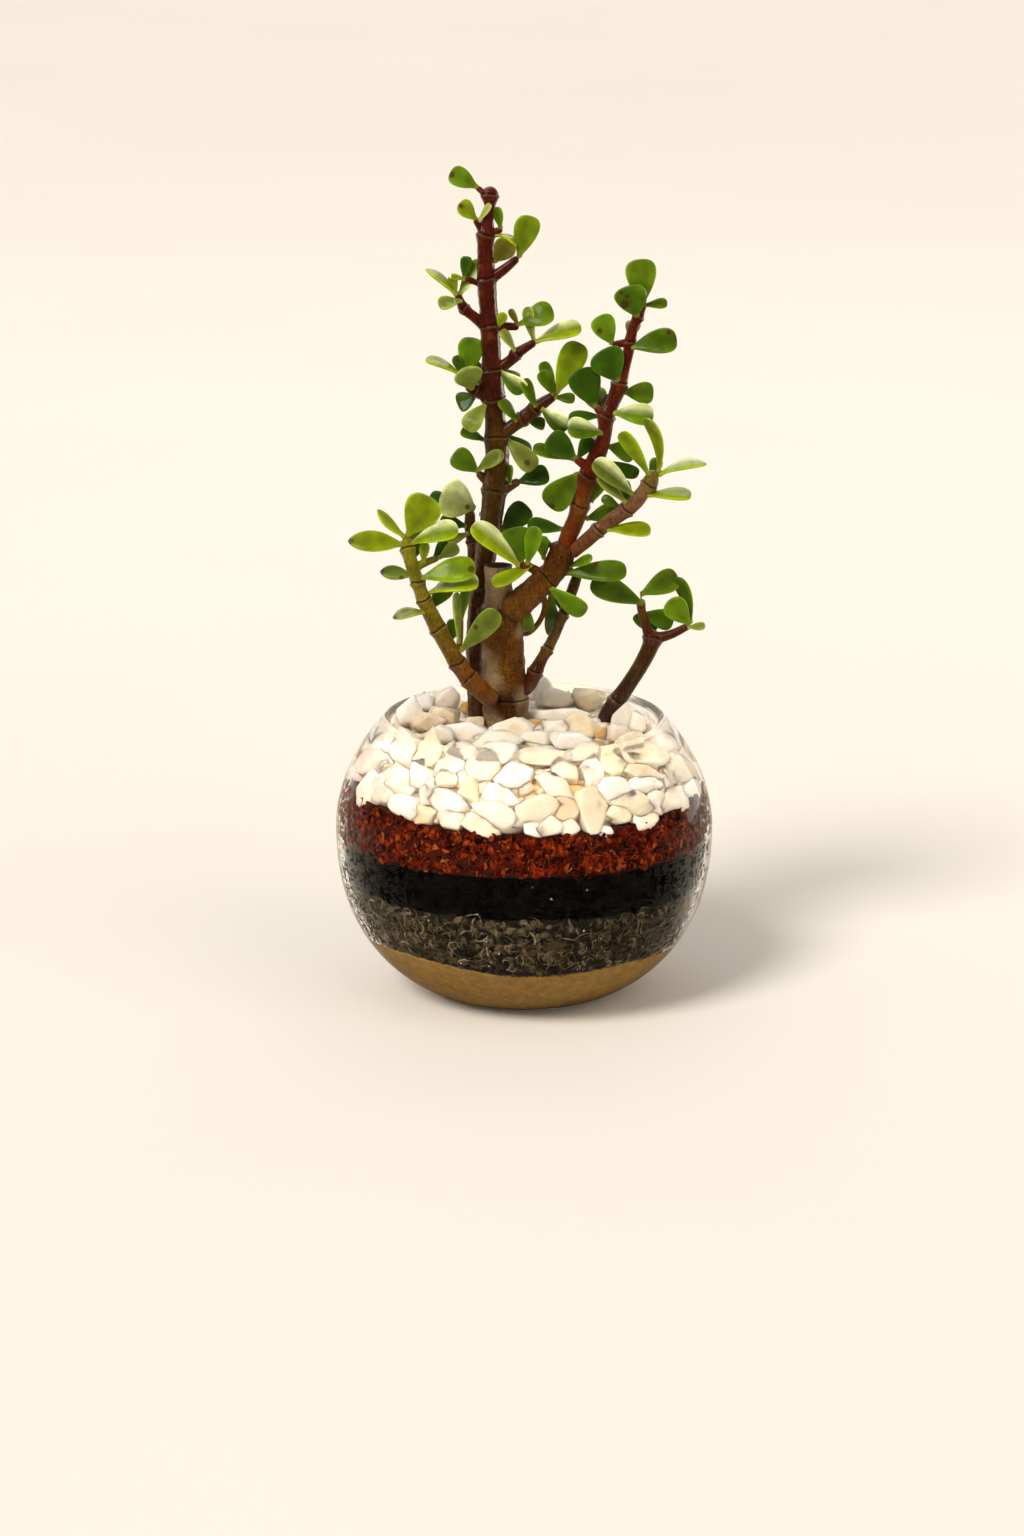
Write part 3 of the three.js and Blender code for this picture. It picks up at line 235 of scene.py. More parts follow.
# %% Finishes
class Finish:
    """A node tree that is built by sums: a material, or the light of the room."""

    def __init__(self, name, family="materials"):
        self.made = getattr(bpy.data, family).new(name)
        self.made.use_nodes = True
        self.tree = self.made.node_tree
        self.tree.nodes.clear()
        self.spot = self.node("ShaderNodeTexCoord", out="Object")

    def node(self, kind, settings=None, inputs=None, out=0):
        """One output of a new node of a kind, after its settings and inputs are set."""
        made = self.tree.nodes.new(kind)
        for key, value in (settings or {}).items():
            setattr(made, key, value)
        for key, value in (inputs or {}).items():
            if isinstance(value, Wire):
                self.tree.links.new(value.socket, made.inputs[key])
            else:
                made.inputs[key].default_value = value
        return Wire(self, made.outputs[out])

    def carried(self, name, out="Vector"):
        """What the skins carry under a name."""
        return self.node("ShaderNodeAttribute", {"attribute_name": name}, out=out)

    def parts(self, vector):
        """The three parts of a vector."""
        split = self.node("ShaderNodeSeparateXYZ", None, {0: vector}).socket.node
        return [Wire(self, output) for output in split.outputs]

    def stretched(self, shares):
        """The spot on the piece, with its axes scaled."""
        return self.node("ShaderNodeVectorMath", {"operation": "MULTIPLY"},
                         {0: self.spot, 1: shares})

    def away(self, point):
        """How far the spot is from a point, in metres."""
        return self.node("ShaderNodeVectorMath", {"operation": "DISTANCE"},
                         {0: self.spot, 1: point}, out="Value")

    def noise(self, scale, detail=2.0, stretch=None, rough=0.5):
        """Cloudy noise from 0 to 1 with lumps of about 1/scale metres."""
        where = self.stretched(stretch) if stretch else self.spot
        return self.node("ShaderNodeTexNoise", None, {
            "Vector": where, "Scale": scale, "Detail": detail, "Roughness": rough})

    def cracks(self, scale, width, where=None, disorder=1.0):
        """0 on the borders of close-packed cells and 1 inside them."""
        cells = self.node("ShaderNodeTexVoronoi", {"feature": "DISTANCE_TO_EDGE"}, {
            "Vector": where or self.spot, "Scale": scale, "Randomness": disorder})
        return cells.ramp(0.0, width)

    def blend(self, share, a, b):
        """Colour a turned towards colour b by a share."""
        return self.node(
            "ShaderNodeMix", {"data_type": "RGBA", "clamp_factor": True},
            {0: share, 6: a, 7: b}, out=2)

    def shaded(self, colour, share):
        """A colour made darker or lighter."""
        return self.node("ShaderNodeVectorMath", {"operation": "SCALE"},
                         {0: colour, "Scale": share})

    def bump(self, height, distance, strength=1.0):
        """Normals that show a height as relief."""
        return self.node("ShaderNodeBump", None, {
            "Height": height, "Distance": distance, "Strength": strength})

    def mirrored(self):
        """1 for what is seen by a mirror-like bounce, 0 if seen straight or through glass."""
        bounced, through = (self.node("ShaderNodeLightPath", out=kind)
                            for kind in ("Is Glossy Ray", "Is Transmission Ray"))
        return bounced * (1 - through)

    def close(self, shader, end="ShaderNodeOutputMaterial"):
        """Plugs a shader into the tree's output and gives back what was made."""
        output = self.tree.nodes.new(end)
        self.tree.links.new(shader.socket, output.inputs[0])
        return self.made

    def surface(self, inputs):
        """Closes the tree with one Principled shader."""
        return self.close(self.node("ShaderNodeBsdfPrincipled", None, inputs))


def rgb(text):
    """One hex colour as a shader's four numbers."""
    return (*paint([text])[0], 1.0)


# %% [markdown]
# ## Glass bowl
# A blown bowl with a thick foot and a fire-rounded rim. Blown glass is a turned shape, so
# its outline is spun round the axis: a full curve below the belly, a rounder one above
# it, a half-round rim, and the inner wall 2.2 mm inside. Lathing a drawn curve would do
# as well, but the layers need the same curve again, and a formula can be asked for its
# radius at any height.

# %% Bowl outline
BOWL_RADIUS, BOWL_HEIGHT, BELLY = 62.0, 93.0, 57.0
FOOT_RADIUS, MOUTH_RADIUS = 25.5, 45.7
WALL, BASE = 2.2, 3.5
RIM, RIM_INSET = 1.5, 0.5
FOOT_RISE = 0.5
LOW_ROUND, HIGH_ROUND = 2.35, 1.85


def reach_of(height, radius, roundness):
    """Half height of the full curve that has a radius at a height from the belly."""
    return height / (1 - (radius / BOWL_RADIUS) ** roundness) ** (1 / roundness)


LOW_REACH = reach_of(BELLY, FOOT_RADIUS, LOW_ROUND)
HIGH_REACH = reach_of(BOWL_HEIGHT - BELLY, MOUTH_RADIUS, HIGH_ROUND)


def outer_radius(z):
    """The bowl's outer radius at heights z."""
    z = np.asarray(z, float)
    low = np.clip((BELLY - z) / LOW_REACH, 0, 1)
    high = np.clip((z - BELLY) / HIGH_REACH, 0, 1)
    return BOWL_RADIUS * np.where(
        z < BELLY,
        (1 - low ** LOW_ROUND) ** (1 / LOW_ROUND),
        (1 - high ** HIGH_ROUND) ** (1 / HIGH_ROUND))


def slope_at(z):
    """How fast the outer radius grows with height."""
    return (outer_radius(z + 0.2) - outer_radius(z)) / 0.2


def radius_inside(z, depth):
    """The radius that lies a depth inside the outer face, square to it."""
    return outer_radius(z) - depth * np.hypot(1, slope_at(z))


def bowl_outline():
    """Radii and heights from the foot up the outside, over the rim and down inside."""
    wall_end = BOWL_HEIGHT - 2 * RIM
    low = BELLY * np.linspace(0, 1, 34) ** 1.8
    high = np.linspace(BELLY, wall_end, 22)[1:]
    outer = np.concatenate([low, high])
    turn = np.radians(np.linspace(0, 240, 14))
    inner = BASE + (wall_end - RIM - BASE) * np.linspace(1, 0, 46) ** 1.3
    foot = FOOT_RADIUS * np.linspace(0.2, 0.96, 6)
    floor = radius_inside(BASE, WALL) * np.linspace(0.96, 0.2, 6)
    radius = np.concatenate([
        foot, outer_radius(outer), MOUTH_RADIUS - RIM_INSET + RIM * np.cos(turn),
        radius_inside(inner, WALL), floor])
    height = np.concatenate([
        FOOT_RISE * (1 - (foot / FOOT_RADIUS) ** 6), outer,
        BOWL_HEIGHT - RIM + RIM * np.sin(turn), inner, np.full(len(floor), BASE)])
    return radius, height


def spin(radius, height, around):
    """Rings of a turned shape: radius and height may vary with the turn."""
    turn = np.linspace(0, 2 * math.pi, around, endpoint=False)
    radius = np.broadcast_to(radius.T, (around, len(radius))).T
    height = np.broadcast_to(height.T, (around, len(height))).T
    return np.stack([radius * np.cos(turn), radius * np.sin(turn), height], -1)[None]


print("bowl radius at foot, belly and mouth, mm:",
      outer_radius([0, BELLY, BOWL_HEIGHT]).round(1))

# %% [markdown]
# ## Glass
# The wall varies a little in thickness, which makes the layers behind it swim. It bends
# light less than real glass does: the grains press against a real wall and leave no air,
# but a stronger bend would show every gap here as a pale edge. The rim was softened in
# the flame, so it is less smooth, and it has a painted glow, a faint light of its own.
# A lamp's light has to reach the stones, so the glass is clear to shadow rays.

# %% Glass
RIM_TINT_AND_GLOW = 3.7, 1.8


def glass_finish():
    """Clear glass with a pale rim, painted to glow a little, that starts and is full at
    RIM_TINT_AND_GLOW below the top.
    """
    f = Finish("clear_glass")
    start, full = ((BOWL_HEIGHT - drop) * MM for drop in RIM_TINT_AND_GLOW)
    rim = f.parts(f.spot)[2].ramp(start, full)
    glass = f.node("ShaderNodeBsdfPrincipled", None, {
        "Base Color": f.blend(rim, (0.985, 0.978, 0.962, 1), rgb("#EDE5DA")),
        "Roughness": rim * 0.18, "IOR": 1.15, "Transmission Weight": 1.0,
        # The rim's emission is a painted glow, a light that the glass gives off on its own.
        "Emission Color": f.blend(rim, (0, 0, 0, 1), rgb("#D8C8B4")),
        "Emission Strength": 0.28, "Normal": f.bump(f.noise(38, 1.0), 0.0002, 0.5)})
    clear = f.node("ShaderNodeBsdfTransparent", None, {"Color": (0.98, 0.975, 0.96, 1)})
    shadow = f.node("ShaderNodeLightPath", out="Is Shadow Ray")
    return f.close(f.node("ShaderNodeMixShader", None, {0: shadow, 1: glass, 2: clear}))


outline, heights = bowl_outline()
bowl_rings = spin(outline[:, None], heights[:, None], 144)
foot_middle, floor_middle = (np.array([[0, 0, z]]) for z in (FOOT_RISE, BASE))
bowl = skin(bowl_rings, foot_middle, floor_middle, 1.0, 0.0)
piece("bowl_glass", [bowl], glass_finish(), "glass_bowl")

# %% [markdown]
# ## Poured layers
# Sand, grey gravel with fibres, crushed charcoal and red bark were poured one on another,
# so each layer's top is a slightly wavy face and the next one lies on it. Each layer is a
# turned block between two such faces, and its side, which is what is seen through the
# glass, is crowded with its own grains: bits of fibre, lumps or curled chips laid
# along the wall and turned at random. A flat picture on the side would look painted;
# grains catch the light at the glass as real ones do.
#
# A face is a height for each turn round the axis and each share of the way out to the
# wall, and its waves die out towards the middle, where nobody sees them.

# %% Layer faces
SAND_TOP, GRAVEL_TOP, CHARCOAL_TOP, BARK_TOP = 21.2, 39.9, 55.1, 70.0
CORE_TOP = 84.5
GAP = 0.3
WET = 0.15
BESIDE_LIP, LIP_DEPTH, LIP_SLOPE = MOUTH_RADIUS - 2.4, 4.0, 1.6


def sand_face(turn, share):
    return SAND_TOP - share * (1.5 * np.cos(turn) + 1.2 * np.cos(4 * turn))


def gravel_face(turn, share):
    return GRAVEL_TOP - share * (0.5 * np.cos(turn) + 1.2 * np.sin(turn))


def charcoal_face(turn, share):
    return CHARCOAL_TOP + share * 0.4 * np.sin(3 * turn)


def bark_face(turn, share):
    return BARK_TOP + share * (1.5 * np.cos(2 * turn) - 0.6 * np.cos(turn))


def heap_face(turn, share):
    return CORE_TOP - 2.5 * share ** 6


def floor_face(turn, share):
    return BASE + GAP + 0 * turn * share


def layer_above(face):
    """The underside of the layer that lies on a face."""
    return lambda turn, share: face(turn, share) + GAP


def fill_radius(z, wet=0.0):
    """The filling's outer radius, pressed into the wall by `wet` so that it touches."""
    below_lip = LIP_SLOPE * np.maximum(0, BOWL_HEIGHT - LIP_DEPTH - z)
    beside_wall = radius_inside(z, WALL - wet)
    return np.minimum(beside_wall, BESIDE_LIP + below_lip)


# %% A layer's block
def layer_block(bottom, top, tone, relief, seed, around=180, side=26):
    """A block between two wavy faces, its side roughened by `relief` mm."""
    rng = np.random.default_rng(seed)
    turn = np.linspace(0, 2 * math.pi, around, endpoint=False)
    shares = np.array([0.25, 0.5, 0.75, 0.93])
    share = np.concatenate([shares, np.ones(side), shares[::-1]])[:, None]
    level = np.concatenate([0 * shares, np.linspace(0, 1, side), 0 * shares + 1])[:, None]
    z = bottom(turn, share) * (1 - level) + top(turn, share) * level
    edge = bottom(turn, 1.0) * (1 - level) + top(turn, 1.0) * level
    rough = relief * rng.random(edge.shape)
    radius = share * (fill_radius(edge, WET) - rough)
    rings = spin(radius, z, around)
    middle = [np.array([[0, 0, face(0.0, 0.0)]]) for face in (bottom, top)]
    return skin(rings, *middle, tone, np.stack([share + 0 * z, level + 0 * z, rough], -1))


# %% Grains along the wall
def lumps_of(centres, basis, bend, tone, ways, rows=3, cols=5, blunt=2.6):
    """Small closed lumps: basis (n, 3, xyz) holds half length, half width, half depth."""
    t = np.linspace(-1, 1, rows + 2)[1:-1][None, :, None]
    turn = np.linspace(0, 2 * math.pi, cols, endpoint=False)[None, None, :]
    girth = (1 - np.abs(t) ** blunt) ** (1 / blunt)
    along, across, deep = (basis[:, k][:, None, None] for k in range(3))
    arc = (bend[:, None, None] * (1 - t ** 2))[..., None] * across
    rings = (centres[:, None, None] + t[..., None] * along + arc
             + (girth * np.cos(turn))[..., None] * across
             + (girth * np.sin(turn))[..., None] * deep)
    tone, ways = (v[:, None, None] for v in (tone, ways))
    ends = [centres - basis[:, 0], centres + basis[:, 0]]
    return skin(rings, *ends, tone, ways)


def wall_frame(turn, z, depth):
    """Points `depth` inside the filling's side, with outward, round and upward."""
    radius = fill_radius(z, WET) - depth
    slope = slope_at(z)
    zero = 0 * turn
    out = unit(np.stack([np.cos(turn), np.sin(turn), -slope], -1))
    around = np.stack([-np.sin(turn), np.cos(turn), zero], -1)
    point = np.stack([radius * np.cos(turn), radius * np.sin(turn), z], -1)
    return point, out, around, np.cross(out, around)


# Share of a layer's height that grains leave free at each face, and how many mm deeper
# than the block they are pressed against the glass
FACE_MARGIN, PRESSED = 0.04, 0.05


def grains(seed, count, bottom, top, length, width, depth, tones, shares, *, tilt=0.25,
           curl=0.0, sink=0.5, rows=3, cols=5, blunt=2.6):
    """Bits laid along the wall between two faces, sizes given as (least, most) mm."""
    rng = np.random.default_rng(seed)
    turn = rng.random(count) * 2 * math.pi
    level = FACE_MARGIN + (1 - 2 * FACE_MARGIN) * rng.random(count)
    z = bottom(turn, 1.0) * (1 - level) + top(turn, 1.0) * level
    half = [0.5 * (lo + (hi - lo) * rng.random(count) ** 1.5)
            for lo, hi in (length, width, depth)]
    point, out, around, upward = wall_frame(turn, z, sink * half[2] + 0.25 * rng.random(count))
    spin_by = (rng.random(count) - 0.5) * math.pi
    a = np.cos(spin_by)[:, None] * around + np.sin(spin_by)[:, None] * upward
    a = unit(a + tilt * (rng.random(count) - 0.5)[:, None] * out)
    b = unit(np.cross(out, a) + tilt * (rng.random(count) - 0.5)[:, None] * out)
    c = np.cross(a, b)
    basis = np.stack([a * half[0][:, None], b * half[1][:, None], c * half[2][:, None]], 1)
    pick = rng.choice(len(tones), count, p=np.array(shares) / sum(shares))
    shade = (0.75 + 0.5 * rng.random(count))[:, None]
    ways = np.stack([rng.random(count), rng.random(count), level], -1)
    bend = curl * (rng.random(count) - 0.5) * half[0] / half[1]
    made = lumps_of(point, basis, bend, paint(tones)[pick] * shade, ways,
                    rows, cols, blunt)
    return inside_wall(made, WET + PRESSED)


def inside_wall(made, wet):
    """Presses the points of a skin back to the inner side of the glass."""
    points = made[0]
    radius = np.hypot(points[:, 0], points[:, 1])
    most = fill_radius(points[:, 2], wet)
    points[:, :2] *= np.minimum(1, most / np.maximum(radius, 1e-6))[:, None]
    return made


# %% Layer finishes
def grainy_finish(name, scale, dark, roughness, bump, stretch=None, gloss=0.4):
    """Tone of each grain, broken up by fine noise."""
    f = Finish(name)
    fine = f.noise(scale, 3.0, stretch)
    broad = f.noise(scale * 0.13, 2.0)
    tone = f.carried("tone", "Color")
    shade = fine.ramp(0.3, 0.75, dark, 1.15) * broad.ramp(0.3, 0.7, 0.85, 1.12)
    return f.surface({
        "Base Color": f.shaded(tone, shade),
        "Roughness": fine.ramp(0.2, 0.8, roughness - 0.12, roughness),
        "Specular IOR Level": gloss, "Normal": f.bump(fine, bump, 0.9)})


# %% Sand
sand_tone = paint(["#926F35"])[0]
sand = [layer_block(floor_face, sand_face, sand_tone, 0.15, 11, around=220, side=34)]
sand.append(grains(12, 5200, floor_face, sand_face, (0.4, 0.9), (0.3, 0.7), (0.3, 0.5),
                   ["#9E7F42", "#816128", "#A2926B", "#644B1E", "#8F6E38"], [5, 3, 2, 1, 5],
                   rows=2, cols=4, sink=0.3))
sand.append(grains(13, 260, sand_face, layer_above(sand_face), (0.5, 1.1), (0.3, 0.6),
                   (0.3, 0.5), ["#3A2812", "#241608"], [3, 2], rows=2, cols=4, sink=0.1))
piece("sand_grains", sand, grainy_finish("golden_sand", 2600, 0.8, 0.95, 0.0001),
      "sand_layer")

# %% Gravel
gravel = [layer_block(layer_above(sand_face), gravel_face, paint(["#191611"])[0], 0.7, 21)]
gravel.append(grains(22, 1900, layer_above(sand_face), gravel_face, (2.0, 5.4), (1.2, 3.2),
                     (0.6, 1.2), ["#3A3020", "#261F13", "#5C5038", "#483C26", "#75664A"],
                     [5, 5, 3, 3, 1], rows=2, cols=5, sink=0.9, blunt=2.2, tilt=0.1))
gravel.append(grains(23, 1500, layer_above(sand_face), gravel_face, (2.4, 7.0), (0.3, 0.9),
                     (0.2, 0.4), ["#73664A", "#5A4E38", "#94866A", "#483D28"],
                     [3, 5, 1, 4], rows=4, cols=4, curl=3.0, sink=-0.1))
gravel.append(grains(24, 60, layer_above(sand_face), gravel_face, (0.5, 0.9), (0.4, 0.7),
                     (0.3, 0.5), ["#D8D2C6"], [1], rows=2, cols=4, sink=-0.1))
piece("gravel_bits", gravel, grainy_finish("grey_gravel", 1100, 0.55, 0.9, 0.0002, gloss=0.04),
      "gravel_layer")

# %% Charcoal
charcoal = [layer_block(layer_above(gravel_face), charcoal_face, paint(["#050302"])[0],
                        0.7, 31)]
charcoal.append(grains(32, 1900, layer_above(gravel_face), charcoal_face, (2.0, 5.4),
                       (1.2, 3.2), (0.7, 1.3), ["#050403", "#090705", "#030202", "#16110C"],
                       [5, 4, 5, 1], rows=2, cols=5, sink=0.9, blunt=2.4, tilt=0.1))
# The few small pale grains among the charcoal are painted glints: highlights painted as specks.
charcoal.append(grains(33, 24, layer_above(gravel_face), charcoal_face, (0.4, 0.9), (0.3, 0.6),
                       (0.3, 0.4), ["#CFC6B8"], [1], rows=2, cols=4, sink=-0.1))
piece("charcoal_lumps", charcoal,
      grainy_finish("crushed_charcoal", 900, 0.45, 0.9, 0.0002, gloss=0.0),
      "charcoal_layer")

# %% Bark
bark = [layer_block(layer_above(charcoal_face), bark_face, paint(["#3A1206"])[0], 1.0, 41)]
bark.append(grains(42, 2300, layer_above(charcoal_face), bark_face, (2.0, 5.4), (1.0, 2.4),
                   (0.5, 1.1), ["#601803", "#3E0C02", "#7A2806", "#200602", "#964418"],
                   [6, 6, 4, 3, 1], rows=3, cols=6, curl=1.4, sink=0.4, tilt=0.9))
bark.append(grains(43, 1300, layer_above(charcoal_face), bark_face, (1.4, 3.6), (0.3, 0.7),
                   (0.3, 0.6), ["#80300E", "#501403", "#9C4E22", "#1C0602"],
                   [4, 5, 1.5, 3], rows=3, cols=4, curl=2.4, sink=0.0, tilt=0.9))
piece("bark_chips", bark,
      grainy_finish("red_bark", 1100, 0.38, 0.85, 0.0003, stretch=(1.0, 1.0, 0.5), gloss=0.04),
      "bark_layer")

# %% [markdown]
# ## Pebble bed
# Broken white quartz, tumbled a little: flat broken faces whose edges have worn round.
# Each stone is a ball cut by about eleven planes, softly, so that edges stay crisp but
# not sharp. The stones in front and in the mouth are listed one by one because they are
# what a viewer compares; the far side is set in two rings and small stones fill the gaps.
# A stone that meets the glass is flattened against it, as it would be seen. Rocks made
# by displacing a ball would be rounder than these, and would have no flat breaks.

# %% Pebbles
SHARPNESS = 60
STONE_GAP = 0.25


def cut_faces(rng, count):
    """Directions and distances of the faces that cut each stone: sides, ends, bevels."""
    rim = np.arange(5) * 0.4 * math.pi + rng.random((count, 1)) * 6
    rim = rim + 0.8 * rng.random((count, 5))
    lean = 0.7 * (rng.random((count, 5)) - 0.5)
    sides = np.stack([np.cos(rim), np.sin(rim), lean], -1)
    caps = np.array([[0, 0, 1.0], [0, 0, -1.0]]) + 0.7 * (rng.random((count, 2, 3)) - 0.5)
    bevels = np.array([[0.7, 0.5, 0.8], [-0.7, 0.4, 0.8], [0.1, -0.8, 0.8], [0, 0.6, -0.9]])
    bevels = bevels + 1.0 * (rng.random((count, 4, 3)) - 0.5)
    normals = unit(np.concatenate([sides, caps, bevels], 1))
    reach = np.concatenate([
        0.40 + 0.14 * rng.random((count, 5)), 0.36 + 0.12 * rng.random((count, 2)),
        0.44 + 0.14 * rng.random((count, 4))], 1)
    return normals, reach


def pebbles(rng, centres, across, along, deep, tone, rows=21, cols=32):
    """Stones whose width, height and depth are vectors, cut by seeded planes."""
    count = len(centres)
    normals, reach = cut_faces(rng, count)
    pole = np.linspace(0, math.pi, rows + 2)[1:-1][:, None]
    turn = np.linspace(0, 2 * math.pi, cols, endpoint=False)[None, :]
    rays = np.stack([np.sin(pole) * np.cos(turn), np.sin(pole) * np.sin(turn),
                     np.cos(pole) + 0 * turn], -1)

    def radius(directions):
        facing = np.maximum(0, directions @ normals.swapaxes(1, 2)) / reach[:, None]
        return (facing ** SHARPNESS).sum(-1) ** (-1 / SHARPNESS)

    flat = np.broadcast_to(rays.reshape(1, -1, 3), (count, rows * cols, 3))
    shape = flat * radius(flat)[..., None]
    basis = np.stack([across, along, deep], 1)
    rings = (shape @ basis + centres[:, None]).reshape(count, rows, cols, 3)
    ends = []
    for sign in (1.0, -1.0):
        way = np.broadcast_to(np.array([[[0, 0, sign]]]), (count, 1, 3))
        ends.append(((way * radius(way)[..., None]) @ basis)[:, 0] + centres)
    ways = np.broadcast_to(rng.random((count, 1, 1, 3)), rings.shape)
    return inside_wall(skin(rings, *ends, tone[:, None, None], ways), STONE_GAP)


# %% Places on the wall
def on_wall(right, up, inset):
    """Points seen at (right, up) that lie `inset` inside the inner wall, in front."""
    near, far = np.full(len(right), -BOWL_RADIUS), np.zeros(len(right))
    for _ in range(30):
        middle = (near + far) / 2
        point = place(right, up, middle)
        outside = np.hypot(point[:, 0], point[:, 1]) > radius_inside(point[:, 2], WALL + inset)
        near, far = np.where(outside, middle, near), np.where(outside, far, middle)
    return place(right, up, far)


def wall_normal(point):
    """The way out through the wall at points."""
    radius = np.hypot(point[:, 0], point[:, 1])
    slope = slope_at(point[:, 2])
    return unit(np.stack([point[:, 0] / radius, point[:, 1] / radius, -slope], -1))


def laid_on_wall(vectors, normal):
    """Vectors laid along the wall so that they are still seen as they were."""
    facing = np.maximum(0.5, dot(normal, TO_EYE))
    return vectors - TO_EYE * dot(vectors, normal) / facing


def tilted(across, along, degrees):
    """Two directions turned in their own plane."""
    turn = np.radians(degrees)[:, None]
    return (np.cos(turn) * across + np.sin(turn) * along,
            np.cos(turn) * along - np.sin(turn) * across)


# %% Listed stones
QUARTZ = {
    "w": "#EEE7DC", "c": "#EADFCB", "y": "#E6D7B4", "t": "#D6C0A0", "b": "#DECDB2",
    "g": "#DCD0BE", "p": "#E6D4C6", "a": "#C4934E", "s": "#E4D9C8",
}

# Seen through the front of the glass: right, up, width, height, tilt, colour
FRONT_PEBBLES = [
    (-49.5, 74, 12, 8, 10, "p"), (-52, 79.5, 9, 7, 40, "s"), (-50, 64, 8, 12, -15, "s"),
    (-46, 64.5, 6, 10, 10, "g"), (-45.5, 81, 8, 11, 0, "w"), (-39, 79.5, 8, 11, 0, "p"),
    (-38.5, 67.5, 9, 9, 0, "c"), (-38, 58.5, 11, 9, 0, "w"), (-33.5, 70, 8, 9, 20, "w"),
    (-31, 77, 8, 9, 0, "y"), (-30.5, 64.5, 7, 8, 0, "c"), (-33, 56.5, 8, 8, 0, "t"),
    (-24.5, 74, 8, 11, -10, "g"), (-24.5, 61, 13, 10, -10, "w"), (-23.5, 55, 7, 7, 0, "b"),
    (-26, 68.5, 7, 5, 0, "b"), (-17.5, 64.5, 7, 9, 0, "y"), (-13.2, 73.2, 10, 11, -10, "b"),
    (-14.5, 53.2, 11, 7, -15, "b"), (-8, 56.5, 15, 7, -32, "c"), (-7.5, 63, 11, 7, -20, "w"),
    (-3, 69.5, 13, 9, 0, "w"), (-9, 77.5, 13, 6, 5, "w"), (4.5, 58.5, 16, 9, 5, "b"),
    (9.8, 66, 13, 6.5, -38, "c"), (8.8, 53, 9, 6, 0, "c"), (3.5, 52, 8, 5, -20, "w"),
    (15, 52.5, 5, 6, 0, "g"), (14, 58.5, 8, 8, 0, "t"), (13, 71, 9, 7, 0, "t"),
    (22, 58, 10.5, 15.5, 6, "b"), (22.5, 70.5, 7.5, 10, 0, "w"), (27, 51.3, 5, 4.5, 0, "w"),
    (29.5, 65, 12, 7.5, -10, "w"), (35.5, 60.5, 13, 6.5, -15, "y"), (31, 57, 8, 5, -20, "y"),
    (39.5, 54.5, 9.5, 6, 22, "c"), (42.5, 61, 6, 9, -15, "p"), (48.5, 60.8, 8.5, 11, 0, "c"),
    (53.5, 64.8, 7, 7, -20, "w"), (40, 67.2, 10, 5, 0, "w"), (38.3, 71, 11, 4.5, -15, "b"),
    (40.5, 76, 13, 8, 0, "y"), (29.3, 74, 7.5, 11, 0, "y"), (50.5, 70.5, 11, 8, -30, "b"),
    (46.5, 81.5, 9, 8, -30, "p"), (52.5, 77, 9, 8, -40, "s"), (35.5, 81.5, 8, 6, 0, "b"),
    (20, 77.8, 9, 5, 0, "s"), (6, 76.5, 15, 5.5, 0, "s"), (-20.5, 78.5, 8, 5, 0, "s"),
]

# Seen in the mouth: right, up, back, width, height, tilt, colour
TOP_PEBBLES = [
    (-38, 91, 12, 8, 9, 0, "w"), (-33, 87.5, 1, 9, 6, 0, "t"), (-27, 89, 5, 10, 8, 0, "t"),
    (-34, 95, 25, 8, 6, 0, "w"), (-25.5, 95.5, 26, 9, 7, 0, "p"),
    (-18.2, 92.8, 21, 6, 4.5, 0, "a"), (-20, 84, -7, 16, 7, 0, "w"), (-17, 87.5, 3, 7, 4, 0, "t"),
    (-5, 84.5, -6, 17, 8, 5, "c"), (4.5, 82.3, -16, 10, 5, -10, "c"),
    (9.5, 85, -4, 12, 7, 10, "c"), (18.5, 85.5, -2, 15, 8, 0, "y"), (3.5, 87.5, 5, 5, 3, 0, "a"),
    (12, 89.8, 11, 18, 5, 5, "g"), (10.5, 95.5, 25, 12, 7, 0, "s"),
    (21.5, 96, 25, 11, 6.5, 0, "y"), (6.5, 98.5, 34, 8, 7, 0, "w"), (26.5, 84, -8, 6, 4, 0, "a"),
    (33, 88.5, 9, 8, 9, 0, "g"), (38, 87.5, 1, 6, 7, 0, "c"), (-8, 81.5, -26, 14, 7, 0, "c"),
    (-28, 84, -14, 9, 6, 0, "s"), (31, 84, -9, 8, 6, 0, "s"), (16, 81.5, -22, 12, 6, 0, "w"),
]


print("stones listed:", len(FRONT_PEBBLES) + len(TOP_PEBBLES))


# %% Lay the listed stones
DEPTH_SHARE, SUNK, MOST_DEEP = 0.9, 0.42, 9.0


def quartz(letters):
    """Linear colours from a list's letters."""
    return paint([QUARTZ[letter] for letter in letters])


def front_stones(rng):
    """The stones that lean on the front wall, laid so that they're seen as listed."""
    table = np.array([row[:5] for row in FRONT_PEBBLES], float)
    right, up, width, height, tilt = table.T
    deep = DEPTH_SHARE * np.minimum(width, height)
    centre = on_wall(right, up, SUNK * deep)
    normal = wall_normal(centre)
    across, along = tilted(RIGHT, SHEET_UP, tilt)
    return pebbles(
        rng, centre, laid_on_wall(across * width[:, None], normal),
        laid_on_wall(along * height[:, None], normal), normal * deep[:, None],
        quartz(row[5] for row in FRONT_PEBBLES))


def top_stones(rng):
    """The stones that are seen in the mouth, facing the eye."""
    table = np.array([row[:6] for row in TOP_PEBBLES], float)
    right, up, back, width, height, tilt = table.T
    deep = np.minimum(width, MOST_DEEP)
    across, along = tilted(RIGHT, SHEET_UP, tilt)
    return pebbles(rng, place(right, up, back), across * width[:, None],
                   along * height[:, None], TO_EYE * deep[:, None],
                   quartz(row[6] for row in TOP_PEBBLES), rows=18, cols=28)


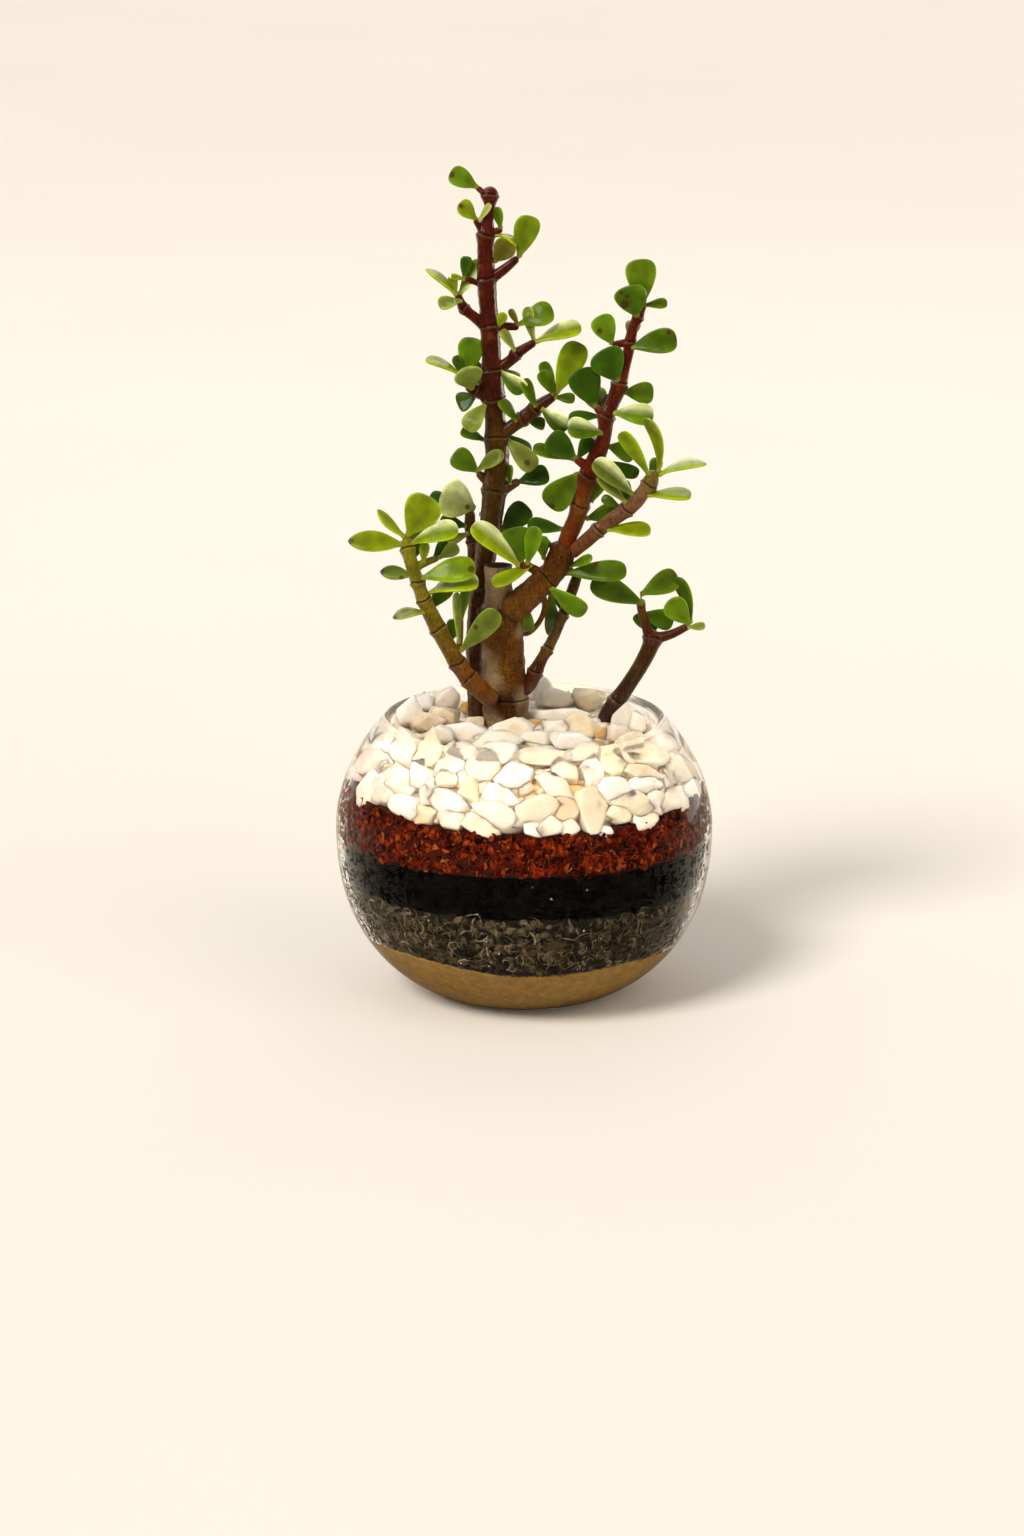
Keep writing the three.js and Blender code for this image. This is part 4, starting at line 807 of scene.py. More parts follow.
# %% Stones all round
FAR_RINGS = [(15, 0.0, 75.0), (14, 0.03, 83.5)]
WALL_FILLERS, MOUTH_FILLERS = 190, 300
FILLED_FROM, FILLED_HEIGHT = 70.5, 14.5
HEAP_REACH, HEAP_TOP, HEAP_FALL = 41, 86.4, 0.0016
TRUNK_RIGHT, TRUNK_BACK, TRUNK_ROOM = -6, 8, 9


def leaning_stones(rng, turn, z, size, inset=0.0, **detail):
    """Stones that lean on the wall at given turns and heights."""
    width, height, deep = (size[:, None] * (0.8 + 0.5 * rng.random((len(turn), 3)))).T
    deep = 0.8 * deep
    radius = np.minimum(radius_inside(z, WALL + 0.45 * deep + inset),
                        fill_radius(z) - 0.4 * deep)
    centre = np.stack([radius * np.cos(turn), radius * np.sin(turn), z], -1)
    normal = wall_normal(centre)
    around = np.stack([-np.sin(turn), np.cos(turn), 0 * turn], -1)
    across, along = tilted(around, np.cross(normal, around), 140 * (rng.random(len(turn)) - 0.5))
    tone = quartz(rng.choice(list("wwccccyybbtgps"), len(turn)))
    return pebbles(rng, centre, across * width[:, None], along * height[:, None],
                   normal * deep[:, None], tone, **detail)


def far_stones(rng):
    """Two close rings of stones against the far side of the glass."""
    turn = math.pi * np.concatenate(
        [np.linspace(start, 1 - start, count) for count, start, _ in FAR_RINGS])
    level = np.concatenate([np.full(count, height) for count, _, height in FAR_RINGS])
    level = level + 2.4 * (rng.random(len(turn)) - 0.5)
    size = 9.0 + 2.5 * rng.random(len(turn))
    return leaning_stones(rng, turn, level, size, rows=12, cols=18)


def wall_fillers(rng):
    """Small stones all round, behind the large ones."""
    turn = 2 * math.pi * rng.random(WALL_FILLERS)
    z = FILLED_FROM + FILLED_HEIGHT * rng.random(WALL_FILLERS)
    z = np.maximum(z, bark_face(turn, 1.0) + 2.4)
    size = 4.2 + 2.6 * rng.random(WALL_FILLERS)
    return leaning_stones(rng, turn, z, size, 1.5, rows=7, cols=10)


def mouth_fillers(rng):
    """Small stones that floor the mouth, clear of the trunk."""
    radius = HEAP_REACH * np.sqrt(rng.random(MOUTH_FILLERS))
    turn = 2 * math.pi * rng.random(MOUTH_FILLERS)
    x, y = radius * np.cos(turn), radius * np.sin(turn)
    clear = np.hypot(x - TRUNK_RIGHT, y - TRUNK_BACK) > TRUNK_ROOM
    x, y, radius = x[clear], y[clear], radius[clear]
    z = HEAP_TOP - HEAP_FALL * radius ** 2 + 1.8 * rng.random(len(x))
    centre = np.stack([x, y, z], -1)
    size = 4.5 + 4.0 * rng.random((len(x), 1))
    east, north, up = (np.broadcast_to(axis, centre.shape) for axis in np.eye(3))
    across, along = tilted(east, north, 360 * rng.random(len(x)))
    lean = 0.5 * (rng.random(centre.shape) - 0.5)
    tone = quartz(rng.choice(list("wwccccyybbtgpsa"), len(x)))
    return pebbles(rng, centre, (across + lean * up) * size, 0.8 * along * size,
                   0.7 * up * size, tone, rows=8, cols=12)


# %% [markdown]
# ## Quartz and the heap
# Quartz lets light in a little way, so a stone is never dark on its far side: some of
# what enters leaves again near by. Cream clouds, honey stains and faint flats keep stones
# of one colour apart. Under the stones lies a honey-coloured core, so that no gap between
# them is black.

# %% Quartz and the heap
def pebble_finish():
    """Milky quartz with honey stains and small flats."""
    f = Finish("tumbled_quartz")
    tone = f.carried("tone", "Color")
    veins = f.noise(260, 4.0, rough=0.65)
    clouds = f.noise(130, 2.0)
    milky = f.blend(clouds.ramp(0.45, 0.75, 0, 0.6), tone, rgb("#F3EBDC"))
    honey = f.blend(clouds.ramp(0.46, 0.26, 0, 0.5), milky, rgb("#D6BA8C"))
    stained = f.blend(veins.ramp(0.58, 0.76, 0, 0.35), honey, rgb("#CDA66C"))
    chipped = f.noise(1500, 3.0)
    flats = f.cracks(210, 0.35)
    return f.surface({
        "Base Color": stained, "Roughness": chipped.ramp(0.3, 0.7, 0.22, 0.5),
        "Subsurface Weight": 0.85, "Subsurface Radius": (0.62, 0.78, 1.0),
        "Subsurface Scale": 0.005, "Specular IOR Level": 0.45,
        "Normal": f.bump(chipped * 0.12 + veins * 0.5 + flats * 0.6, 0.0006, 0.5)})


CORE_SHARE = 0.93
rng = np.random.default_rng(7)
core = layer_block(layer_above(bark_face), heap_face, paint(["#E2BE84"])[0], 0.4, 51,
                   around=90, side=14)
core[0][:, :2] *= CORE_SHARE
laid = [lay(rng) for lay in (front_stones, top_stones, far_stones, wall_fillers, mouth_fillers)]
stones = [core, *laid]
piece("quartz_pebbles", stones, pebble_finish(), "pebble_bed")

# %% [markdown]
# ## Stems
# Each stem thickens at its joints, where a pair of leaves stood: a swelling, a thin pale
# lip and a dark groove above it, tipped a little because the two scars lie opposite each
# other. Between joints the skin wrinkles lengthwise as it dries. A stem is a line of
# rings along a smooth thread through its listed points, with rings set closer at the
# joints. A curve with a bevel would be quicker, but it has no joints, lips or wrinkles.

# %% Smooth thread
def thread(knots, stations):
    """A centripetal Catmull-Rom thread through knots, read at stations in knots."""
    padded = np.concatenate([2 * knots[:1] - knots[1:2], knots, 2 * knots[-1:] - knots[-2:-1]])
    at = np.clip(stations.astype(int), 0, len(knots) - 2)
    t = (stations - at)[:, None]
    p = [padded[at + k] for k in range(4)]
    d = [np.sqrt(np.linalg.norm((p[k + 1] - p[k])[:, :3], axis=1))[:, None] for k in range(3)]
    m1 = d[1] * ((p[1] - p[0]) / d[0] - (p[2] - p[0]) / (d[0] + d[1]) + (p[2] - p[1]) / d[1])
    m2 = d[1] * ((p[2] - p[1]) / d[1] - (p[3] - p[1]) / (d[1] + d[2]) + (p[3] - p[2]) / d[2])
    rest = p[2] - p[1]
    return p[1] + t * m1 + t ** 2 * (3 * rest - 2 * m1 - m2) + t ** 3 * (m1 + m2 - 2 * rest)


# %% Rings of a stem
FINE, RING_STEP = 40, 0.6
JOINT_RINGS = np.linspace(-1.4, 1.6, 11)
TIP_RINGS = np.array([0.75, 0.5, 0.28, 0.12, 0.03])


def measured(rows):
    """Knots of listed rows, the length along them, and where the joints are."""
    rows = np.array([tuple(row) + (0,) * (5 - len(row)) for row in rows], float)
    knots = np.c_[place(rows[:, 0], rows[:, 1], rows[:, 2]), rows[:, 3]]
    fine = np.linspace(0, len(rows) - 1, FINE * (len(rows) - 1) + 1)
    path = thread(knots, fine)
    lengths = np.r_[0, np.cumsum(np.linalg.norm(np.diff(path[:, :3], axis=0), axis=1))]
    return knots, fine, lengths, lengths[::FINE][rows[:, 4] > 0]


def ring_stations(total, joints, cap):
    """Where rings stand along a stem: closer at the joints and at the tip."""
    close = (joints[:, None] + JOINT_RINGS).ravel()
    stations = np.r_[np.arange(0.05, total, RING_STEP), close, total - cap * TIP_RINGS]
    stations = np.unique(np.round(stations, 2))
    return stations[(stations > 0.04) & (stations < total - 0.02)]


def line_frames(knots, stations):
    """Centre and radius of a stem at stations in knots, with three directions there."""
    ahead = thread(knots, np.minimum(stations + 0.01, len(knots) - 1))
    behind = thread(knots, np.maximum(stations - 0.01, 0))
    along = unit((ahead - behind)[:, :3])
    facing = unit(TO_EYE - along * dot(along, TO_EYE))
    return thread(knots, stations), along, facing, np.cross(along, facing)


# %% Relief of a stem
PHASE = 6.3
SCAR_TILT, SWELL_LENGTH, LIP_LENGTH, GROOVE_LENGTH = 0.35, 1.3, 0.32, 0.3
NODE_SWELL, LIP_HEIGHT, GROOVE_DEPTH = 0.5, 0.12, 0.36


def joint_relief(rng, length, turn, joints):
    """How far each point lies in a swelling, in a groove and on a lip."""
    swell, groove, lip = (np.zeros(length.shape) for _ in range(3))
    for joint in joints:
        scar = length - joint - SCAR_TILT * np.cos(2 * turn + PHASE * rng.random())
        swell += NODE_SWELL * np.exp(-(scar / SWELL_LENGTH) ** 2)
        lip += np.exp(-((scar + 0.1) / LIP_LENGTH) ** 2)
        groove += np.exp(-((scar - 0.6) / GROOVE_LENGTH) ** 2)
    return swell, groove, lip


def skin_relief(rng, length, turn):
    """Lengthwise wrinkles and slow knobs, about 0."""
    folds = sum(
        rng.random() * np.sin(k * turn + PHASE * rng.random() + (rng.random() - 0.5) * length / 5)
        for k in (2, 3, 5, 7, 9))
    knobs = sum(
        (rng.random() - 0.5) * np.sin(k * turn + PHASE * rng.random() + w * length)
        for k, w in ((1, 0.55), (2, 0.8), (3, 1.3), (1, 2.1), (4, 1.9)))
    return folds, knobs


def banded(ups, colours):
    """Colours that change with the height at which a point is seen."""
    heights, hexes = zip(*colours)
    steps = paint(hexes)
    return np.stack([np.interp(ups, heights, steps[:, k]) for k in range(3)], -1)


# %% Ends of a stem
# Shares of the rim's radius, and how far past the last ring: back is negative
HOLLOW_STEPS = [(0.9, 0.25), (0.72, 0.1), (0.6, -0.6), (0.45, -1.4), (0.2, -2.1)]
# How dark the hollow is painted, passed on as the groove mark.
HOLLOW_DARKNESS = 0.9


def cut_end(radius, spine, along, frames, marks, total):
    """Ends a stem in a sawn rim round a hollow that is painted dark."""
    shares, drops = np.array(HOLLOW_STEPS).T
    radius = np.r_[radius, shares[:, None] * radius[-1]]
    spine = np.r_[spine, spine[-1] + drops[:, None] * along[-1]]
    frames = [np.r_[v, np.repeat(v[-1:], len(HOLLOW_STEPS), 0)] for v in frames]
    marks = [np.r_[v, np.full((len(HOLLOW_STEPS), v.shape[1]), fill)]
             for v, fill in zip(marks, (total, HOLLOW_DARKNESS, 0.0))]
    return radius, spine, frames, marks, spine[-1:] - 0.3 * along[-1]


def round_ends(radius, stations, total, cap):
    """Rounds a stem's tip, and narrows its foot inside what it grows from."""
    near_end = np.clip((stations - (total - cap)) / cap, 0, 1)[:, None]
    near_foot = np.clip(1 - stations / 0.5, 0, 1)[:, None]
    return radius * np.sqrt(1 - near_end ** 2) * np.sqrt(1 - 0.7 * near_foot ** 2)


# %% One stem
def stem(rows, colours, seed, *, around=24, wrinkle=0.05, flare=0.0, hollow=False,
         lumpy=0.0):
    """A stem through rows of right, up, back, radius and, at a joint, a 1."""
    rng = np.random.default_rng(seed)
    knots, fine, lengths, joints = measured(rows)
    total, cap = lengths[-1], min(0.8 * knots[-1, 3], 2.0)
    stations = ring_stations(total, joints, cap)
    centre, along, *frames = line_frames(knots, np.interp(stations, lengths, fine))
    turn = np.linspace(0, 2 * math.pi, around, endpoint=False)[None, :]
    length = stations[:, None] + 0 * turn
    swell, groove, lip = joint_relief(rng, length, turn, joints)
    folds, knobs = skin_relief(rng, length, turn)
    radius = centre[:, 3:4] * (1 + flare * np.exp(-stations[:, None] / 1.6))
    size = np.minimum(radius, 3.0)
    radius = (radius + swell + LIP_HEIGHT * lip
              - GROOVE_DEPTH * groove * np.minimum(1, size / 2)
              + wrinkle * folds * size / 3 + lumpy * knobs)
    spine, marks, end = centre[:, :3], [length, groove, lip], knots[-1:, :3]
    if hollow:
        radius, spine, frames, marks, end = cut_end(
            radius, spine, along, frames, marks, total)
    else:
        radius = round_ends(radius, stations, total, cap)
    rings = (spine[:, None] + (radius * np.cos(turn))[..., None] * frames[0][:, None]
             + (radius * np.sin(turn))[..., None] * frames[1][:, None])
    tone = banded(rings @ SHEET_UP, colours) * (1 + 0.12 * (rng.random() - 0.5))
    return skin(rings[None], knots[:1, :3], end, tone[None], np.stack(marks, -1)[None])


# %% [markdown]
# ## Leaves
# A leaf of this plant is a small fat pad: a narrow foot without a real stalk, widest past
# the middle, a round tip, the upper face nearly flat and the underside fuller. Each leaf
# is listed by where its foot and its tip are seen, how far the tip comes forward, its
# width, which way its face is turned and how it bows. It starts inside the nearest stem.
# Copies of one leaf would be lighter, but the leaves on a living plant all differ, and
# every one that can be seen is set as it grows.

# %% Where a leaf grows
ROOT_DEPTH = 1.3


def nearest_on_stems(stems, right, up):
    """The stem centre line nearest to a point seen at (right, up), and its distance."""
    best = (math.inf, None, None)
    for rows in stems:
        for a, b in zip(rows, rows[1:]):
            a, b = np.array(a[:4], float), np.array(b[:4], float)
            run = b[:2] - a[:2]
            raw = (np.array([right, up]) - a[:2]) @ run / (run @ run)
            t = min(max(raw, 0), 1 - ROOT_DEPTH / np.hypot(*run))
            mix = a + t * (b - a)
            distance = math.hypot(right - mix[0], up - mix[1])
            if distance - mix[3] < best[0]:
                best = (distance - mix[3], distance, mix)
    return best[1], best[2]


def leaf_ends(stems, right, up, tip_right, tip_up, forward):
    """Where a leaf is rooted in its stem, where it comes out, and where its tip is."""
    distance, mix = nearest_on_stems(stems, right, up)
    out = math.sqrt(max(0, mix[3] ** 2 - distance ** 2))
    back = mix[2] - np.sign(forward) * out
    return place(*mix[:3]), place(right, up, back), place(tip_right, tip_up, back - forward)


# %% Greens
LEAF_TONES = {
    "y": "#7E8F05", "h": "#6E8405", "g": "#5C7705", "m": "#4B6404", "d": "#335004",
    "p": "#7A8630", "o": "#685F14", "s": "#626E22", "v": "#A2AA5C",
}
# Colour of the painted sheen: a pale band on one side of some upper faces, where they would
# mirror a bright sky.
PAINTED_SHEEN = "#C4CA8A"


def leaf_tone(rng, look, t, side, around):
    """A leaf's own green, with a painted sheen, a pale band on one side, on some leaves."""
    tone = paint([LEAF_TONES[look[0]]])[0] * (0.88 + 0.24 * rng.random())
    tone = tone * (1 + 0.1 * (rng.random(3) - 0.5))
    lit_side = ("+" in look) - ("-" in look)
    sheen_mask = np.clip((side * lit_side - 0.05) / 0.4, 0, 1) * np.clip(t / 0.3, 0, 1)
    sheen_mask = (sheen_mask * (np.sin(around) > -0.1))[..., None]
    return tone * (1 - sheen_mask) + paint([PAINTED_SHEEN])[0] * sheen_mask


# %% One leaf
STALK, TIP_SHARE = 0.85, 0.985
LEAF_ROWS, LEAF_COLS = 22, 18
LEAF_SHAPES = {"round": (0.95, 0.36), "pointed": (1.0, 0.7)}
UPPER_FULLNESS, UNDER_FULLNESS = 0.75, 1.2
MIDRIB, MIDRIB_WIDTH = 0.14, 0.22


def leaf(stems, row, rng):
    """A leaf from a row of the plant's lists."""
    *marks, width, turn, bow, look = row
    root, foot, tip = leaf_ends(stems, *marks)
    length = np.linalg.norm(tip - foot)
    along = (tip - foot) / length
    face_on = unit(TO_EYE - along * (TO_EYE @ along))
    left_hand = np.cross(face_on, along)
    twist, cup = 0.3 * (rng.random() - 0.5), 0.05 + 0.2 * rng.random()
    ripple, phase = 0.02 * rng.random(2), PHASE * rng.random(2)
    t = (1 - (1 - np.linspace(0, TIP_SHARE, LEAF_ROWS)) ** 1.8)[:, None]
    rolled = math.radians(turn) + twist * (t - 0.5)
    normal = np.cos(rolled) * face_on + np.sin(rolled) * left_hand
    across = np.cross(normal, along)
    p, q = LEAF_SHAPES["pointed" if "^" in look else "round"]
    blade = t ** p * (1 - t) ** q
    blade = blade / ((p / (p + q)) ** p * (q / (p + q)) ** q)
    around = np.linspace(0, 2 * math.pi, LEAF_COLS, endpoint=False)[None, :]
    side = np.sign(np.cos(around)) * np.abs(np.cos(around)) ** 0.9
    edge = 1 + np.where(side > 0, ripple[0] * np.sin(9 * t + phase[0]),
                        ripple[1] * np.sin(8 * t + phase[1]))
    stalk = STALK * (1 - t) ** 4
    half = np.hypot(stalk, 0.5 * width * blade)
    rise = np.hypot(stalk, 0.5 * (0.9 + 0.18 * width) * blade ** 0.75)
    vein = MIDRIB * np.exp(-(side / MIDRIB_WIDTH) ** 2)
    lens = np.sin(around) * np.where(
        np.sin(around) > 0, UPPER_FULLNESS - vein, UNDER_FULLNESS)
    x = half * side * edge
    z = rise * lens + cup * x ** 2 / (0.5 * width)
    spine = foot + t * (tip - foot) + 4 * t * (1 - t) * bow * length * normal
    rings = spine[:, None] + x[..., None] * across[:, None] + z[..., None] * normal[:, None]
    tone = leaf_tone(rng, look, t, side, around)
    ways = np.stack(np.broadcast_arrays(t, np.abs(side), np.sin(around)), -1)
    return skin(rings[None], root[None], tip[None], tone[None], ways[None])


# %% [markdown]
# ## The plant's lists
# Stems as right, up, back, radius and a 1 at a joint. Leaves as foot right, foot up, tip
# right, tip up, how far the tip comes forward, width, turn, bow and look. The look is a
# letter for the green, with ^ where the tip is pointed, and + or - where one side or the
# other of the upper face has a painted sheen, a pale band. A rule for branching would
# need less room, but no rule grows this one plant.

# %% Trunk
TRUNK = [
    (-5.8, 60, 8, 6.4), (-5.9, 74, 8, 8.2), (-6, 86, 8, 7.7), (-6.3, 95.8, 8, 7.5, 1),
    (-6.7, 104, 8, 7.1), (-7.1, 113, 8, 6.9), (-7.5, 120.5, 8, 6.9), (-7.9, 125.6, 8, 7, 1),
    (-8.3, 127.6, 7.4, 4.9), (-8.5, 133.5, 7, 4.4), (-8.6, 140.2, 7, 4.5),
]
PLANT = {}


def list_stem(key, **lists):
    """Keeps the lists of one leafy stem."""
    PLANT[key] = lists
    print(f"{key}: {len(lists['leaves'])} leaves")


# %% Tall left stem
list_stem(
    "tall_left",
    main=[
        (-15, 60, 16, 2.6), (-15.5, 88, 16, 2.8), (-16.2, 103, 17, 2.9),
        (-16.3, 114, 18, 3, 1), (-15.8, 125, 17.5, 2.9), (-14.5, 134, 16.2, 3.1, 1),
        (-12.6, 144, 14.4, 3.5), (-11.4, 152, 12.8, 3.6, 1), (-10.5, 159, 11, 3.7),
        (-9.9, 165.5, 10, 4, 1), (-9.4, 171, 9.5, 3.9), (-9.1, 177, 9, 3.9),
        (-9.5, 182.8, 9, 3.6, 1), (-9.8, 189.5, 9, 3.3), (-10.4, 196, 8.5, 3.7, 1),
        (-10.7, 200.5, 8, 3.9), (-10.7, 205.3, 8, 3.5, 1), (-10.9, 210.5, 8, 3.1),
        (-11.1, 215, 7.5, 3.2), (-11.3, 220, 7, 3.1, 1), (-11.8, 225, 7, 2.9),
        (-12.2, 230, 6.5, 3), (-12.6, 236, 6, 3.1, 1), (-12.9, 244.5, 6, 2.6),
        (-12.7, 250.5, 5.5, 2.8, 1), (-12, 255.3, 5, 1.8), (-11.4, 260, 5, 1.8),
        (-11.3, 263.6, 5, 2.6, 1), (-11, 266.6, 5, 1.5),
    ],
    twigs=[
        [(-14.5, 129, 17, 1.4), (-16.8, 134, 19, 1.5), (-17.3, 141, 19.5, 1.5),
         (-17.4, 148, 19.5, 1.6, 1), (-18, 153, 19, 1.9), (-18, 158.5, 17.5, 1.6)],
        [(-12, 263, 5, 1), (-15.7, 266.3, 4.5, 0.9)],
        [(-13, 250, 5.5, 1.2), (-16.3, 255.6, 4.5, 1)],
        [(-12, 250.5, 5.5, 1.3), (-7.2, 252.4, 5, 1)],
        [(-11.5, 235.5, 6, 1.8), (-6.5, 239, 5, 1.6), (-2, 242.8, 4, 1.2)],
        [(-13.5, 234, 6, 1.2), (-19.8, 235.8, 5, 0.9)],
        [(-12, 219.5, 7, 2), (-16.5, 223, 7, 1.7), (-20, 226, 6.5, 1.6, 1),
         (-22.2, 230.5, 6, 1.2)],
        [(-10, 220, 7, 1.6), (-1.6, 219.8, 6, 1.2)],
        [(-10, 204.5, 8, 2), (-4, 209, 6.5, 1.8), (-2.5, 210.7, 6, 1.8, 1), (3.8, 214.8, 5, 1.2)],
        [(-8.5, 183.3, 9, 2.3), (-3.5, 186.8, 8, 2.2), (-0.5, 189, 7.5, 2.3, 1),
         (3.7, 192.4, 7, 2.3, 1), (10.3, 197, 6.5, 1.5)],
        [(-11, 167, 10, 1.6), (-15.5, 171.2, 9, 1.2)],
        [(-8, 165, 10, 2), (-1.5, 168.4, 9, 1.3)],
        [(-11.5, 197, 8.5, 2.3), (-16.5, 198.8, 7.5, 2, 1), (-20.3, 203.8, 7, 1.4)],
    ],
    leaves=[
        (-15.5, 266.2, -24.7, 271, 1, 7, -15, 0.05, "g"),
        (-16, 255.5, -21.6, 260.8, 2, 6, -20, 0.05, "y"),
        (-15, 255.2, -11.2, 260.6, 3, 2.6, 30, 0, "v"),
        (-7.8, 252.6, -9, 259.7, 1, 4, 30, 0, "g"),
        (-9.5, 250.3, -2.2, 247, 2, 6, 70, 0.15, "y"),
        (-9.8, 241.5, -4.6, 248.2, 4, 7.4, 0, 0, "o"),
        (-1.7, 243, 2, 256.8, 0.5, 8.5, -15, 0, "h"),
        (-21.5, 230.5, -13.6, 241.6, -1, 6.4, 22, 0.05, "g-"),
        (-22.6, 230.5, -32.8, 239, 1, 5.5, -62, 0.06, "y^"),
        (-20, 236, -19, 243.3, -1, 4, 15, 0, "d"),
        (-21, 228.5, -28, 226.5, 5, 6, -40, 0.08, "p"),
        (-20, 235.7, -24.3, 236.6, 0.5, 2.2, 0, 0, "y"),
        (-1.2, 220.8, 9.8, 225, 1, 8.4, 15, 0.06, "g"),
        (3.4, 214.9, 1.3, 226.5, -1, 5, 45, 0.04, "p"),
        (-2, 220.2, -4.5, 225.7, 1, 2.8, 40, 0, "o"),
        (-8.8, 219.8, -6.5, 224.3, 2, 3.4, 0, 0, "y"),
        (-3, 211.8, -7.7, 218.5, 1, 4.5, -45, 0.05, "p"),
        (4.1, 214.8, 19, 219.8, 0.5, 7.5, 35, 0.06, "y+"),
        (-19, 203.7, -17.1, 216.2, -1, 8.4, 5, 0, "g"),
        (-20.8, 204, -22.5, 210.3, -2, 4, 30, 0, "d"),
        (-20.8, 203.6, -32.7, 209, 0.5, 5.5, -58, 0.06, "y"),
        (-17.3, 199, -19.3, 205.8, 7, 9.5, 0, 0, "p"),
        (-16, 197, -22, 193.5, -1, 7, -20, 0, "d"),
        (-12.8, 194, -19, 185.3, 4, 6.8, -15, 0.08, "p"),
        (-13, 182, -21, 185.3, -1, 4.6, -30, 0, "d"),
        (-15.3, 171.5, -23.5, 177.6, -1, 7.6, 0, 0, "m"),
        (-15.5, 171.8, -7, 177, 8, 6, 35, 0.08, "s"),
        (-5.8, 182.3, 3.5, 172.3, 3, 7.2, 10, 0.06, "p"),
        (-2, 168, 8.2, 171, -1, 7, 10, 0, "d"),
        (-4.8, 167.3, -4.7, 173.7, 0.5, 3.2, 50, 0, "g"),
        (-2.3, 188.2, -8.2, 195.3, 0.5, 5.6, -45, 0.05, "m"),
        (-8, 205, 0.5, 198.5, 1, 6.4, -30, 0.05, "m+"),
        (4, 193, -0.3, 202.3, 0.5, 5, -35, 0, "m"),
        (10, 197, 5.4, 204.8, 1, 5.5, -30, 0.05, "m"),
        (10.5, 198, 6, 208, -1, 4.6, -20, 0, "m"),
        (10.4, 196.3, 17, 195.8, 0.5, 4, 20, 0, "m"), (1, 188.7, 7, 186.8, -1, 5, 30, 0, "m"),
        (5.8, 192.5, 14.8, 186, 1, 6.8, -30, 0.08, "m+"),
        (10.8, 197.6, 18.5, 214.5, -1, 9, 0, 0, "y"),
        (-7.5, 151.5, 1.2, 160, -4, 8.4, 0, 0, "d"),
        (-16.3, 159.2, -27.6, 163.8, 3, 13, -5, 0.05, "v-"),
        (-18.5, 158.4, -31.3, 163.6, -3, 5, 0, 0, "d"),
        (-19.2, 153.3, -28, 155.3, 1, 5, 0, 0, "d"),
        (-18.4, 151, -26.5, 147.5, 0.5, 4.5, -30, 0, "o"),
        (-11.5, 152, -11.5, 158, -10, 7, 0, 0.1, "m"),
        (-9.6, 166, -10, 172, -10, 7.4, 0, 0.1, "m"),
        (-9.5, 183, -9.6, 189, -10, 7, 0, 0.1, "m"),
        (-10.5, 196.5, -10.6, 203, -10, 7, 0, 0.1, "m"),
        (-11, 206, -11, 212, -10, 6, 0, 0.1, "m"),
        (-11.4, 220, -11.8, 226, -9, 6, 0, 0.1, "m"),
        (-12.6, 236.5, -12.9, 242.5, -8, 5.6, 0, 0.1, "m"),
        (-12.5, 197.3, -19, 208, -8, 7, 0, 0.05, "m"),
        (-8, 205.5, -2.6, 201, -9, 6, 0, 0.05, "m"),
        (-7, 184, 1.5, 177, -8, 6.4, 0, 0.05, "m"),
        (-23, 231, -25.2, 236.4, 1, 1.4, 0, 0, "y^"),
        (-23, 231, -24, 237.6, 0.5, 1.4, 0, 0, "y^"),
        (-22.7, 231, -22.8, 236.9, 1.5, 1.4, 0, 0, "p^"),
    ],
)

# %% Left limb
list_stem(
    "left_limb",
    main=[
        (-9.2, 95.2, 0, 2.3), (-11.3, 96, -0.5, 3), (-15.2, 99.4, -1.5, 3.2),
        (-18.5, 102.6, -2, 2.9, 1), (-22.2, 107.6, -3, 2.7, 1), (-25.5, 113.5, -3.5, 2.7),
        (-28.5, 119, -4, 2.7, 1), (-31.3, 124.5, -4.5, 2.6), (-33.2, 128.5, -4.5, 2.3, 1),
        (-35.4, 134.5, -4.5, 2.2, 1), (-37.2, 140, -4.5, 2.2), (-38.8, 146, -4.5, 2.2, 1),
        (-39.3, 149.6, -4.5, 1.4),
    ],
    twigs=[
        [(-23.5, 110.5, -3.2, 1.3), (-21.5, 114, -2.5, 0.9), (-20.9, 122, -2, 0.8)],
        [(-37, 139, -4.5, 1.4), (-33.3, 141, -3.5, 1.3), (-28.5, 142.8, -2, 1)],
    ],
    leaves=[
        (-40.3, 147.2, -58.7, 148.3, 1, 7.6, -20, 0.05, "y^"),
        (-40, 150, -48.9, 158.8, 0.5, 5, -50, -0.06, "y^"),
        (-38.7, 150.3, -31.5, 163, 3, 12, 0, 0, "y"),
        (-37.3, 147.7, -22, 152, 5, 8.4, 35, 0.08, "y+"),
        (-37.2, 136.8, -48, 138.2, -1, 5.2, -20, 0.03, "p^"),
        (-34, 136, -16.3, 139.5, 3, 9, 20, 0.08, "h"),
        (-31.3, 131.2, -15.2, 134.6, 3, 9, 45, 0.1, "y+"),
        (-33.3, 124.6, -43.8, 122.7, 1, 5.4, -50, 0.08, "p^"),
        (-33.6, 141, -33, 148, 0.5, 3.4, 0, 0, "y"),
        (-30, 142.6, -26, 148.5, -1, 4, -20, 0, "d"),
        (-28.3, 142.8, -22, 146.8, -1, 4.8, 0, 0, "p"),
        (-21, 111.8, -8.7, 124.8, 4, 7.6, 0, -0.03, "s"),
        (-21.6, 114.2, -22.6, 131.2, 0.5, 4.2, -50, 0, "p"),
        (-21, 121.5, -19.3, 133, -1, 3.4, 0, 0, "g"),
        (-38, 141, -34.5, 153.5, -8, 8, 0, 0.05, "m"),
        (-31.5, 125.5, -25, 134, -8, 6, 0, 0.05, "m"),
        (-25.5, 114, -22.5, 122, -8, 5.4, 0, 0.05, "m"),
    ],
)

